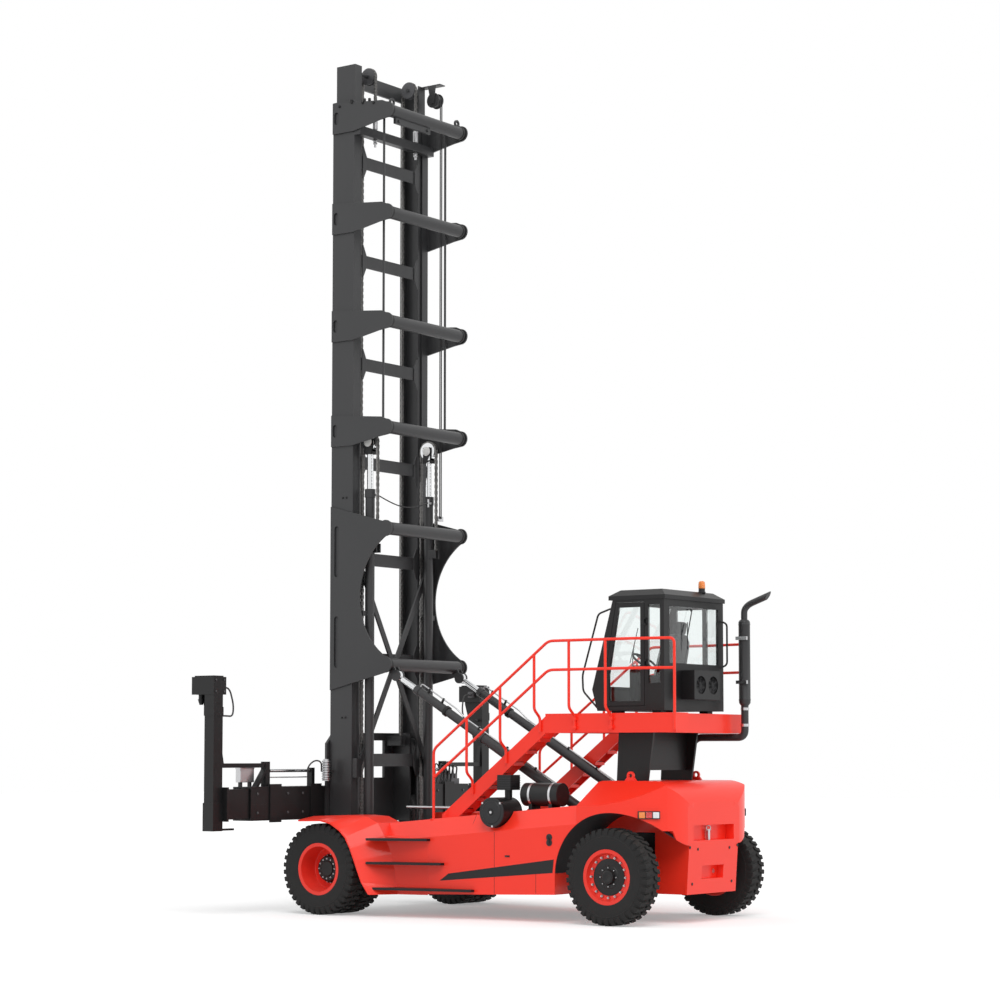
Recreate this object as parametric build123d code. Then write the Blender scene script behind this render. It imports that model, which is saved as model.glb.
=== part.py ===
"""Empty container handler: a heavy lift truck whose tall mast carries a side-lift spreader.

Millimetres. While a piece is drawn, x runs forward from the drive axle, y to the left and z up from
the ground. On export everything moves forward by DRIVE_AXLE_X, so that the origin is the middle of
the machine's box on the ground.
"""
from build123d import *
import os
from math import cos, hypot, pi, radians, sin

# Wheels
DRIVE_AXLE_X = 2444
WHEELBASE = 4926
STEER_AXLE_X = -WHEELBASE
TYRE_RADIUS = 685
TYRE_WIDTH = 375
LUG_COUNT = 25
LUG_DEPTH = 24
LUG_LENGTH = 100
RIM_RADIUS = 362
RIM_FLANGE = 392
RIM_WALL = 26
TWIN_OUTER_Y = 1865
TWIN_INNER_Y = 1425
STEER_WHEEL_Y = 1460
DRIVE_DISC_Y = TWIN_OUTER_Y - 165
KINGPIN_Y = 1150
KINGPIN_RADIUS = 45

# Mast, outer stage
MAST_X = (235, 665)
MAST_HALF_WIDTH = 960
MAST_WALL = 22
MAST_FLANGE = 150
MAST_FOOT_Z = 450
MAST_TOP_Z = 12750
MAST_PIVOT_X = 100
MAST_PIVOT_Z = 1000
MAST_PIN_RADIUS = 55
SIDE_PLATE = 25
PLATE_Y = (MAST_HALF_WIDTH, MAST_HALF_WIDTH + SIDE_PLATE)
CROSS_TUBE_X = -434
CROSS_TUBE_RADIUS = 100
CROSS_TUBE_Z = (12484, 10866, 9148, 7481, 5901, 3790)
MAST_SHELF_Z = (905, 950)
LIFT_ANCHOR_Z = (5550, 5690)
MAST_BRACE_X = (145, 175)
MAST_BRACE_Z = (2200, 5400)
MAST_BRACE_WIDTH = 90

# Mast, inner stage
STAGE_GAP = 6
INNER_WIDTH = 170
INNER_OUTER_Y = 910
INNER_FOOT_Z = 1050
INNER_TOP_Z = 13340
INNER_BAR_DROP = (1552, 3139, 4786, 6353, 7868, 9440, 11020)
INNER_BAR = 200
CHAIN_ANCHOR_Z = (INNER_TOP_Z - 1160, INNER_TOP_Z - 1020)
INNER_BAR_Z = [INNER_TOP_Z - drop for drop in INNER_BAR_DROP
               if INNER_TOP_Z - drop > INNER_FOOT_Z + 2 * INNER_BAR]
TOP_SHEAVE_X = 290
TOP_SHEAVE_Y = 525
TOP_SHEAVE_Z = INNER_TOP_Z - 130
TOP_SHEAVE_RADIUS = 118
CHAIN_WIDTH = 60
CHAIN_THICK = 24

# Lift and tilt cylinders
LIFT_X = 50
LIFT_Y = 755
LIFT_BARREL_RADIUS = 74
LIFT_BARREL_TOP_Z = 6550
LIFT_ROD_RADIUS = 50
LIFT_ROD_FOOT_Z = 1900
LIFT_HEAD_Z = 7290
LIFT_SHEAVE_RADIUS = 138
BORE_GAP = 5
GLAND = 60
RUNNING_GAP = 0.3
TILT_MAST_PIN = (-560, 3620)
TILT_BODY_PIN = (STEER_AXLE_X + 876, 1560)
TILT_Y = 815
TILT_BARREL_RADIUS = 75
TILT_BARREL_LENGTH = 2250
TILT_ROD_RADIUS = 45
TILT_PIN_RADIUS = 32
TILT_EYE_RADIUS = 78
TILT_EYE_WIDTH = 60
TILT_EYE_GAP = 9
TILT_NECK = 110
LUG_PLATE = 25
LUG_PLATE_GAP = 6

# Spreader
SPREADER_X = (722, 1082)
SPREADER_Z = (1410, 1920)
SPREADER_HALF = 2750
SPREADER_WALL = 22
SLIDE_GAP = 8
BEAM_INNER_Y = 650
BEAM_END_Y = 3240
END_PLATE = 40
TOWER_X = (824, 1009)
TOWER_Y = (3280, 3480)
TOWER_Z = (1270, 3200)
COLLAR_Z = (2985, 3115)
HEAD_X = (823, 1262)
HEAD_Y = (3210, 3490)
HEAD_Z = (3300, 3565)
GUIDE_X = (850, 915)
GUIDE_Z = (2208, 2275)
GUIDE_INNER_Y = 2300
GUIDE_GAP = 8
POST_Y = (2190, 2290)
RAM_Y = (1130, 1200)
RAM_Z = 2160
RAM_RADIUS = 22
TWISTLOCK_X = 1170
TWISTLOCK_Y = 3380
CARRIAGE_Z = (1350, 2750)
CARRIAGE_CHEEK_Y = 680
CARRIAGE_HALF = 1020

# Chassis and bodywork
FRAME_Y = (420, 600)
FRAME_Z = (870, 1290)
DRIVE_BEAM_RADIUS = 140
BODY_HALF_WIDTH = 1600
BODY_INNER_Y = 935
BODY_WALL = 30
FENDER_WALL = 25
FENDER_SEAM_Y = 1700
FENDER_OUTER_Y = 2072
FENDER_INNER_Y = 1160
WELL_RADIUS = 900
WELL_INNER_Y = 680
DECK_THICK = 40
HOOD_TOP_Z = 2030
TAIL_X = STEER_AXLE_X - 789
TAIL_HALF = 1000
SHOULDER_Z = 1680
BODY_FRONT_X = -800
BODY_REAR_X = STEER_AXLE_X + 526
BODY_TOP_Z = (1370, 1690)
BODY_BEVEL = (180, 268)
SPLIT_X = STEER_AXLE_X - 214
ENGINE_X = (STEER_AXLE_X + 546, STEER_AXLE_X + 2096)
STEP_REACH = 390
TOW_PIN_RADIUS = 28
LIFTING_EYE_RADIUS = 30
LIFTING_EYE_X = STEER_AXLE_X + 53
MAST_EYE_Y = 850
TOW_PIN_X = TAIL_X + 95
TOW_RECESS_Z = (1180, 1400)
LAMP_TURN = 38

AIR_CLEANER = (BODY_REAR_X + 1450, 1570)
AIR_CLEANER_Y = (BODY_HALF_WIDTH - 420, BODY_HALF_WIDTH + 40)
AIR_CLEANER_RADIUS = 215
AIR_CLEANER_GAP = 15

# Platform, stairs and cab
PLATFORM_Z = (2720, 3000)
PLATFORM_X = (STEER_AXLE_X - 904, STEER_AXLE_X + 1326)
PLATFORM_HALF = 1215
PLATFORM_RIGHT_X = STEER_AXLE_X - 574
PLATFORM_STEP_Y = 880
PLATFORM_SKIRT = 25
STAIR_RUN = 1850
STAIR_TOP = (PLATFORM_X[1], 2860)
STAIR_FOOT = (STAIR_TOP[0] + STAIR_RUN, 1470)
STAIR_Y = (935, 1215)
STAIR_STRINGER = 20
STAIR_TREADS = 7
RAIL_RADIUS = 21
RAIL_CRANK = 170
RAIL_TOP_Z = 4050
RAIL_MID_Z = 3600
CAB_HALF = 825
CAB_BASE_Z = 3040
CAB_SILL_Z = 3350
CAB_ROOF_Z = 4640
CAB_TOP_Z = 4790
CAB_WALL = 45
CAB_FRONT_X = STEER_AXLE_X + 766
CAB_ROOF_FRONT_X = CAB_FRONT_X - 360
CAB_REAR_X = CAB_FRONT_X - 1240
DOOR_HINGE_X = CAB_REAR_X + 340
DOOR_FRONT_X = CAB_FRONT_X - 230
DOOR_GAP = 8
SEAT_X = CAB_FRONT_X - 640
CONSOLE_X = CAB_FRONT_X - 220
DOOR_RAIL = 65
HINGE_X = DOOR_HINGE_X - DOOR_GAP / 2
HINGE_Y = CAB_HALF + 18
HINGE_Z = (3720, 4320)
HINGE_PIN_RADIUS = 9
GLASS = 10
EXHAUST = (STEER_AXLE_X - 734, -1000)
EXHAUST_TIP_X = STEER_AXLE_X - 1224
EXHAUST_RADIUS = 55
SILENCER_RADIUS = 86


def block(x, y, z):
    """Block between the low and high values of x, y and z."""
    middle = ((x[0] + x[1]) / 2, (y[0] + y[1]) / 2, (z[0] + z[1]) / 2)
    return Pos(*middle) * Box(x[1] - x[0], y[1] - y[0], z[1] - z[0])


def rod(start, end, radius):
    """Round bar from one point to another."""
    way = Vector(*end) - Vector(*start)
    return Part() + Solid.make_cylinder(radius, way.length, Plane(start, z_dir=way))


def disc(x, z, radius, y):
    """Round piece whose axis runs across the machine, between two y."""
    return rod((x, y[0], z), (x, y[1], z), radius)


def side_plate(outline, y):
    """Plate with an outline of (x, z) points, standing between two y."""
    return extrude(Plane.XZ.offset(-y[0]) * make_face(Polyline(*outline, close=True)), amount=y[0] - y[1])


def side_face(edges, y):
    """Plate whose side outline is given as edges in x and z, standing between two y."""
    return extrude(Plane.XZ.offset(-y[0]) * make_face(edges), amount=y[0] - y[1])


def plan_plate(outline, z):
    """Plate with an outline of (x, y) points, lying between two z."""
    return extrude(Plane.XY.offset(z[0]) * make_face(Polyline(*outline, close=True)), amount=z[1] - z[0])


def section_bar(outline, x):
    """Bar with a section of (y, z) points, running between two x."""
    return extrude(Plane.YZ.offset(x[0]) * make_face(Polyline(*outline, close=True)), amount=x[1] - x[0])


def join(pieces):
    """One body welded from several pieces."""
    return Part() + list(pieces)


def other_side(piece):
    """The same piece on the right-hand side."""
    return mirror(piece, about=Plane.XZ)


def pair(piece):
    """The piece and its mirror image on the right."""
    return join([piece, other_side(piece)])


def spin(profile, x, y, z):
    """Turned piece from an (outward y, radius) profile, its axis across the machine at x, z."""
    face = make_face(Polyline(*[(radius, along) for along, radius in profile], close=True))
    return Pos(x, y, z) * revolve(face, axis=Axis.Y)


def tyre(y, lugs):
    """Tyre round the wheel axis: flat sectors, each with a block of tread on both shoulders.

    One sector lies between two corners of a polygon. Every face of it is flat, so the sectors close
    into one solid.
    """
    half = TYRE_WIDTH / 2
    shoulder = half - 17
    floor = TYRE_RADIUS - LUG_DEPTH
    belly = (RIM_RADIUS + floor) / 2
    bead = half - 37
    lug_inner = shoulder - LUG_LENGTH
    pitch = 2 * pi / LUG_COUNT
    crown_radius = TYRE_RADIUS / cos(pitch / 2)
    bead_radius = (RIM_RADIUS + RUNNING_GAP) / cos(pitch / 2)
    lug_share = (0.2, 0.8)
    faces = []

    def point(radius, along, share, turn):
        """Corner at a share of the flat between this sector's two polygon corners."""
        first = Vector(radius * cos(turn), y + along, radius * sin(turn))
        last = Vector(radius * cos(turn + pitch), y + along, radius * sin(turn + pitch))
        return first + (last - first) * share

    def add(*corners):
        """Flat face through the given corners."""
        faces.append(Face(Wire.make_polygon(corners, close=True)))

    for index in range(LUG_COUNT):
        turn = (index - 0.5) * pitch - pi / 2
        add(*[point(bead_radius, along, share, turn)
              for along, share in ((-bead, 0), (-bead, 1), (bead, 1), (bead, 0))])
        outline = []
        for side in (-1, 1):
            low, belt, top = side * bead, side * half, side * shoulder
            add(point(bead_radius, low, 0, turn), point(bead_radius, low, 1, turn),
                point(belly, belt, 1, turn), point(belly, belt, 0, turn))
            edge = [point(floor, top, share, turn) for share in (1, *lug_share[::-1], 0)]
            if not lugs:
                edge = [edge[0], edge[-1]]
            add(point(belly, belt, 0, turn), point(belly, belt, 1, turn), *edge)
            notch = []
            if lugs:
                inner = side * lug_inner
                foot = [point(floor, along, share, turn) for along, share in
                        ((top, lug_share[0]), (inner, lug_share[0]), (inner, lug_share[1]),
                         (top, lug_share[1]))]
                crown = [point(crown_radius, along, share, turn) for along, share in
                         ((top, lug_share[0]), (inner, lug_share[0]), (inner, lug_share[1]),
                          (top, lug_share[1]))]
                for here in range(4):
                    there = (here + 1) % 4
                    add(foot[here], foot[there], crown[there], crown[here])
                add(*crown)
                notch = foot
            run = [point(floor, top, 0, turn), *notch, point(floor, top, 1, turn)]
            outline.extend(run if side < 0 else run[::-1])
        add(*outline)
    return Solid(Shell(faces))


def drive_tyres():
    """Twin tyres of one drive wheel; the inner one is hidden and has a plain tread."""
    return join([tyre(TWIN_OUTER_Y, True), tyre(TWIN_INNER_Y, False)])


def bead_flange(along, way):
    """Profile points of a rim's edge: out along the tyre's bead and back over the lip."""
    lip = TYRE_WIDTH / 2 - 37
    return [(along + way * (lip + 2), RIM_RADIUS), (along + way * (lip + 9), RIM_FLANGE),
            (along + way * (lip + 18), RIM_FLANGE)]


def drive_rim():
    """Deep-dished twin rim with its recessed hub, drawn about the wheel axis."""
    bore = RIM_RADIUS - RIM_WALL
    lip = TYRE_WIDTH / 2 - 19
    disc_y = DRIVE_DISC_Y
    profile = [(TWIN_INNER_Y - lip, bore), *bead_flange(TWIN_INNER_Y, -1)[::-1],
               *bead_flange(TWIN_OUTER_Y, 1), (TWIN_OUTER_Y + lip, bore), (disc_y, bore - 12),
               (disc_y, 205), (disc_y + 120, 190), (disc_y + 120, 0), (disc_y - 60, 0),
               (disc_y - 60, 175), (disc_y - 30, 175), (disc_y - 30, bore)]
    return spin(profile, 0, 0, 0)


def steer_rim():
    """Single rim with its bolted disc and hub, drawn about the wheel axis."""
    bore = RIM_RADIUS - RIM_WALL
    lip = TYRE_WIDTH / 2 - 19
    disc_y = STEER_WHEEL_Y + 85
    profile = [(STEER_WHEEL_Y - lip, bore), *bead_flange(STEER_WHEEL_Y, -1)[::-1],
               *bead_flange(STEER_WHEEL_Y, 1), (STEER_WHEEL_Y + lip, bore), (disc_y, bore - 15),
               (disc_y, 175), (disc_y + 70, 165), (disc_y + 70, 0), (disc_y - 30, 0), (disc_y - 30, bore)]
    return spin(profile, 0, 0, 0)


def at_wheel(piece, axle_x):
    """Move a piece drawn about a wheel's axis to its axle."""
    return Pos(axle_x, 0, TYRE_RADIUS) * piece


def drive_axle():
    """Axle beam with its differential housing, brake drums and the ends that carry the hubs."""
    end = DRIVE_DISC_Y - 60 - RUNNING_GAP
    drum = TWIN_INNER_Y - TYRE_WIDTH / 2 + 20
    beam = disc(0, TYRE_RADIUS, DRIVE_BEAM_RADIUS, (-drum, drum))
    ends = disc(0, TYRE_RADIUS, 130, (-end, end))
    bowl = Pos(0, 0, TYRE_RADIUS) * Sphere(255)
    saddles = [block((-150, -60), (side * 510 - 90, side * 510 + 90), (TYRE_RADIUS, FRAME_Z[0]))
               for side in (-1, 1)]
    return join([beam, ends, bowl & block((-260, 205), (-260, 260), (400, 868)), *saddles])


def steer_axle():
    """Steering axle beam between the two kingpins, with the fork that holds each pin."""
    x = STEER_AXLE_X
    fork_y = KINGPIN_Y - 75
    beam = block((x - 170, x + 170), (-fork_y, fork_y), (TYRE_RADIUS - 95, TYRE_RADIUS + 95))
    saddle = block((x - 140, x + 140), (-FRAME_Y[1], FRAME_Y[1]), (TYRE_RADIUS + 95, FRAME_Z[0]))
    pieces = [beam, saddle]
    for side in (-1, 1):
        for low, high in ((-95, -62), (62, 95)):
            jaw = block((x - 75, x + 75), sorted((side * fork_y, side * (KINGPIN_Y + 60))),
                        (TYRE_RADIUS + low, TYRE_RADIUS + high))
            pieces.append(jaw)
        pin = rod((x, side * KINGPIN_Y, TYRE_RADIUS - 95), (x, side * KINGPIN_Y, TYRE_RADIUS + 95),
                  KINGPIN_RADIUS)
        pieces.append(pin)
    return join(pieces)


def knuckle():
    """Left steering knuckle: a block bored for the kingpin, and the stub that carries the wheel."""
    x = STEER_AXLE_X
    span = (TYRE_RADIUS - 56, TYRE_RADIUS + 56)
    barrel = rod((x, KINGPIN_Y, span[0]), (x, KINGPIN_Y, span[1]), 66)
    body = join([barrel, block((x - 62, x + 62), (KINGPIN_Y, KINGPIN_Y + 70), span)])
    stub = disc(x, TYRE_RADIUS, 52, (KINGPIN_Y + 60, STEER_WHEEL_Y + 55 - 0.3))
    bore = rod((x, KINGPIN_Y, 0), (x, KINGPIN_Y, 2 * TYRE_RADIUS), KINGPIN_RADIUS + 0.3)
    return join([body, stub]) - bore


def bored_lug(pin, radius, y, foot):
    """Lug plate round a pin at (x, z), running back to a foot given as two (x, z) points."""
    x, z = pin
    first, last = foot
    web = side_plate([first, last, (x + radius * 0.6, z), (x - radius * 0.6, z)], y)
    return join([web, disc(x, z, radius, y)])


def mast_braces():
    """Crossed flat bars between the uprights, each end on a gusset behind the rear flange."""
    low, high = MAST_BRACE_Z
    y = MAST_HALF_WIDTH - MAST_FLANGE / 2
    slant = hypot(2 * y, high - low) / (2 * y) * MAST_BRACE_WIDTH / 2
    bar = section_bar([(-y, high - slant), (-y, high + slant), (y, low + slant), (y, low - slant)],
                      MAST_BRACE_X)
    gussets = [block((MAST_BRACE_X[0], MAST_X[0] + 2), (y - 60, y + 60), (z - 150, z + 150))
               for z in MAST_BRACE_Z]
    left = [bar, *gussets]
    return [*left, *[other_side(piece) for piece in left]]


def mast_uprights():
    """Outer mast: two channels that open inwards, the foot shelf, crossed braces and pivot ears."""
    back, front = MAST_X
    inner = MAST_HALF_WIDTH - MAST_FLANGE
    web = MAST_HALF_WIDTH - MAST_WALL
    channel = block(MAST_X, (inner, MAST_HALF_WIDTH), (MAST_FOOT_Z, MAST_TOP_Z))
    channel -= block((back + MAST_WALL, front - MAST_WALL), (inner - 1, web),
                     (MAST_FOOT_Z - 1, MAST_TOP_Z + 1))
    ear_y = (MAST_HALF_WIDTH - 90, MAST_HALF_WIDTH - 30)
    ear = side_plate([(back, 1350), (back, MAST_PIVOT_Z - 145), (MAST_PIVOT_X, MAST_PIVOT_Z - 110),
                      (MAST_PIVOT_X - 110, MAST_PIVOT_Z - 30), (MAST_PIVOT_X - 110, MAST_PIVOT_Z + 60)],
                     ear_y)
    ear -= disc(MAST_PIVOT_X, MAST_PIVOT_Z, MAST_PIN_RADIUS + 0.3, (ear_y[0] - 1, ear_y[1] + 1))
    shelf_back = LIFT_X - LIFT_BARREL_RADIUS - 6
    half = ear_y[0]
    shelf = block((shelf_back, LIFT_X + LIFT_BARREL_RADIUS + 30), (-half, half), MAST_SHELF_Z)
    rear_tie = block((shelf_back, shelf_back + 30), (-600, 600), (MAST_SHELF_Z[1], MAST_SHELF_Z[1] + 260))
    chain_x = TOP_SHEAVE_X - TOP_SHEAVE_RADIUS - CHAIN_THICK / 2
    chain_half = CHAIN_WIDTH / 2 + 10
    anchor = block((chain_x - 45, back + 2), (-MAST_HALF_WIDTH, MAST_HALF_WIDTH), CHAIN_ANCHOR_Z)
    slot = block((chain_x - 25, chain_x + 25), (TOP_SHEAVE_Y - chain_half, TOP_SHEAVE_Y + chain_half),
                 (CHAIN_ANCHOR_Z[0] - 1, CHAIN_ANCHOR_Z[1] + 1))
    return join([channel, other_side(channel), ear, other_side(ear), shelf, rear_tie, anchor - pair(slot),
                 *mast_braces()])


def cross_tube_plate(z):
    """Upper bracket: a plate on the upright's side that tapers back and rounds the cross tube."""
    front = MAST_X[1] - 5
    tip = CROSS_TUBE_RADIUS + 26
    plate = side_plate([(front, z + 254), (CROSS_TUBE_X + 90, z + 164), (CROSS_TUBE_X, z + tip),
                        (CROSS_TUBE_X, z - tip), (CROSS_TUBE_X + 150, z - 145), (MAST_X[0], z - 246),
                        (front, z - 246)], PLATE_Y)
    slot = block((front - 125, front - 35), (PLATE_Y[0] - 1, PLATE_Y[1] + 1), (z - 55, z + 55))
    ends = [disc(front - 80, z + shift, 45, (PLATE_Y[0] - 1, PLATE_Y[1] + 1)) for shift in (-55, 55)]
    return join([plate, disc(CROSS_TUBE_X, z, tip, PLATE_Y)]) - join([slot, *ends])


def lower_side_plate():
    """Lower bracket: one tall plate joining the two lowest tubes, its back edge a hollow arc."""
    high, low = CROSS_TUBE_Z[4], CROSS_TUBE_Z[5]
    tip = CROSS_TUBE_RADIUS + 26
    front = MAST_X[1] - 5
    hollow_x = 76
    middle = (high + low) / 2
    edges = Line((front, high + 390), (CROSS_TUBE_X + 60, high + tip - 10))
    edges += Line((CROSS_TUBE_X + 60, high + tip - 10), (CROSS_TUBE_X, high - tip))
    edges += ThreePointArc((CROSS_TUBE_X, high - tip), (hollow_x, middle), (CROSS_TUBE_X, low + tip))
    edges += Line((CROSS_TUBE_X, low + tip), (CROSS_TUBE_X, low - tip))
    edges += Line((CROSS_TUBE_X, low - tip), (front, low - 380))
    edges += Line((front, low - 380), (front, high + 390))
    plate = join([side_face(edges, PLATE_Y), disc(CROSS_TUBE_X, high, tip, PLATE_Y),
                  disc(CROSS_TUBE_X, low, tip, PLATE_Y)])
    through = (PLATE_Y[0] - 1, PLATE_Y[1] + 1)
    for z in (high - 325, low + 370):
        plate -= block((front - 172, front - 80), through, (z - 355, z + 355))
        plate -= join([disc(front - 126, z + shift, 46, through) for shift in (-355, 355)])
    return plate


def mast_side_plates():
    """All bracket plates that tie the cross tubes to the uprights."""
    left = [cross_tube_plate(z) for z in CROSS_TUBE_Z[:4]] + [lower_side_plate()]
    return join(left + [other_side(plate) for plate in left])


def mast_cross_tubes():
    """Six tubes behind the mast; two eyes on the top one, tilt cylinder lugs under the lowest."""
    pieces = []
    for z in CROSS_TUBE_Z:
        pieces.append(disc(CROSS_TUBE_X, z, CROSS_TUBE_RADIUS, (-MAST_HALF_WIDTH, MAST_HALF_WIDTH)))
    top = CROSS_TUBE_Z[0] + CROSS_TUBE_RADIUS
    near, far = CROSS_TUBE_X - 15, CROSS_TUBE_X + 15
    for y in (-MAST_EYE_Y, MAST_EYE_Y):
        web = section_bar([(y - 75, top - 40), (y + 75, top - 40), (y + 36, top + 45), (y - 36, top + 45)],
                          (near, far))
        ring = rod((near, y, top + 45), (far, y, top + 45), 60)
        bore = rod((near - 1, y, top + 45), (far + 1, y, top + 45), LIFTING_EYE_RADIUS)
        pieces.append(join([web, ring]) - bore)
    low = CROSS_TUBE_Z[5]
    for side in (-1, 1):
        for way in (-1, 1):
            inner = TILT_EYE_WIDTH / 2 + LUG_PLATE_GAP
            span = sorted((side * TILT_Y + way * inner, side * TILT_Y + way * (inner + LUG_PLATE)))
            pieces.append(bored_lug(TILT_MAST_PIN, 85, span, ((CROSS_TUBE_X - 40, low + 60),
                                                              (CROSS_TUBE_X + 40, low - 85))))
        reach = TILT_EYE_WIDTH / 2 + LUG_PLATE_GAP + LUG_PLATE
        pieces.append(disc(*TILT_MAST_PIN, TILT_PIN_RADIUS, (side * TILT_Y - reach, side * TILT_Y + reach)))
    return join(pieces)


def lift_barrels():
    """Two lift cylinder barrels that stand on the mast's foot shelf, each with its gland collar."""
    foot, top = MAST_SHELF_Z[1], LIFT_BARREL_TOP_Z
    bore = LIFT_ROD_RADIUS + BORE_GAP
    barrel = rod((LIFT_X, LIFT_Y, foot), (LIFT_X, LIFT_Y, top), LIFT_BARREL_RADIUS)
    collar = rod((LIFT_X, LIFT_Y, top - 130), (LIFT_X, LIFT_Y, top), LIFT_BARREL_RADIUS + 10)
    hole = rod((LIFT_X, LIFT_Y, LIFT_ROD_FOOT_Z - 400), (LIFT_X, LIFT_Y, top - GLAND), bore)
    gland = rod((LIFT_X, LIFT_Y, top - GLAND - 1), (LIFT_X, LIFT_Y, top + 1), LIFT_ROD_RADIUS + RUNNING_GAP)
    strap_z = (4560, 4640)
    strap = block((LIFT_X, MAST_X[0]), (LIFT_Y + LIFT_BARREL_RADIUS - 12, MAST_HALF_WIDTH - 40), strap_z)
    chain_x = LIFT_X - LIFT_SHEAVE_RADIUS - CHAIN_THICK
    anchors = [block((chain_x - 12, LIFT_X - 30), (LIFT_Y + low, LIFT_Y + high), LIFT_ANCHOR_Z)
               for low, high in ((-55, -37), (37, 55))]
    return pair(join([barrel, collar, strap, *anchors]) - hole - gland)


def lift_rods():
    """Two chromed lift rods, each with a crosshead that carries its chain sheave."""
    foot = LIFT_ROD_FOOT_Z
    stem = rod((LIFT_X, LIFT_Y, foot), (LIFT_X, LIFT_Y, LIFT_HEAD_Z - 150), LIFT_ROD_RADIUS)
    head_x = (LIFT_X - 70, LIFT_X + 70)
    yoke = block(head_x, (LIFT_Y - 62, LIFT_Y + 62), (LIFT_HEAD_Z - 190, LIFT_HEAD_Z - 148))
    cheeks = [block(head_x, (LIFT_Y + low, LIFT_Y + high), (LIFT_HEAD_Z - 190, LIFT_HEAD_Z + 60))
              for low, high in ((-62, -46), (46, 62))]
    sheave = disc(LIFT_X, LIFT_HEAD_Z, LIFT_SHEAVE_RADIUS, (LIFT_Y - 38, LIFT_Y + 38))
    pin = disc(LIFT_X, LIFT_HEAD_Z, 35, (LIFT_Y - 62, LIFT_Y + 62))
    return pair(join([stem, yoke, *cheeks, sheave, pin]))


def chain_loop(x, z, radius, y, back_z, front_z):
    """Flat chain over a sheave: two straight runs and the half turn over the top."""
    inner, outer = radius + 0.5, radius + 0.5 + CHAIN_THICK
    span = (y - CHAIN_WIDTH / 2, y + CHAIN_WIDTH / 2)
    turn = disc(x, z, outer, span) - disc(x, z, inner, (span[0] - 1, span[1] + 1))
    turn &= block((x - outer - 1, x + outer + 1), span, (z, z + outer + 1))
    back = block((x - outer, x - inner), span, (back_z, z))
    front = block((x + inner, x + outer), span, (front_z, z))
    return join([turn, back, front])


def lift_chains():
    """Lift chains over the crossheads, from the mast's anchor to the foot of the inner stage."""
    return pair(chain_loop(LIFT_X, LIFT_HEAD_Z, LIFT_SHEAVE_RADIUS, LIFT_Y, LIFT_ANCHOR_Z[1],
                           INNER_FOOT_Z + INNER_BAR))


def carriage_chains():
    """Carriage chains over the top sheaves, from the outer mast's anchor down to the carriage."""
    return pair(chain_loop(TOP_SHEAVE_X, TOP_SHEAVE_Z, TOP_SHEAVE_RADIUS, TOP_SHEAVE_Y, CHAIN_ANCHOR_Z[1],
                           CARRIAGE_Z[1] - 60))


def inner_mast():
    """Inner mast stage: two channels nested in the outer ones, tied by a ladder of flat bars."""
    back, front = MAST_X[0] + MAST_WALL + STAGE_GAP, MAST_X[1] - MAST_WALL - STAGE_GAP
    inner = INNER_OUTER_Y - INNER_WIDTH
    channel = block((back, front), (inner, INNER_OUTER_Y), (INNER_FOOT_Z, INNER_TOP_Z))
    channel -= block((back + MAST_WALL, front - MAST_WALL), (inner - 1, INNER_OUTER_Y - MAST_WALL),
                     (INNER_FOOT_Z - 1, INNER_TOP_Z + 1))
    half = inner + 12
    bars = [block((back, back + MAST_WALL), (-half, half), (z - INNER_BAR / 2, z + INNER_BAR / 2))
            for z in (*INNER_BAR_Z, INNER_FOOT_Z + INNER_BAR)]
    top = block((front - 40, front), (-half, half), (INNER_TOP_Z - 240, INNER_TOP_Z))
    shaft = disc(TOP_SHEAVE_X, TOP_SHEAVE_Z, 30, (TOP_SHEAVE_Y - 60, inner + 12))
    cheeks = []
    for low, high in ((-55, -37), (37, 48)):
        cheeks.append(block((186, back + 10), (LIFT_Y + low, LIFT_Y + high),
                            (INNER_FOOT_Z + INNER_BAR / 2, INNER_FOOT_Z + INNER_BAR * 1.5)))
    pad = block((MAST_X[0] + 165, MAST_X[1] - 165),
                (INNER_OUTER_Y - 2, MAST_HALF_WIDTH - MAST_WALL - RUNNING_GAP),
                (INNER_FOOT_Z + 80, INNER_FOOT_Z + 380))
    left = [channel, shaft, pad, *cheeks]
    return join([*left, *[other_side(piece) for piece in left], *bars, top])


def top_sheaves():
    """Two grooved wheels at the head of the inner stage that turn the carriage chains."""
    half = CHAIN_WIDTH / 2 + 12
    rim = TOP_SHEAVE_RADIUS
    profile = [(-half, 30.3), (-half, rim + 16), (-half + 10, rim + 16), (-half + 11, rim),
               (half - 11, rim), (half - 10, rim + 16), (half, rim + 16), (half, 30.3)]
    return pair(spin(profile, TOP_SHEAVE_X, TOP_SHEAVE_Y, TOP_SHEAVE_Z))


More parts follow.
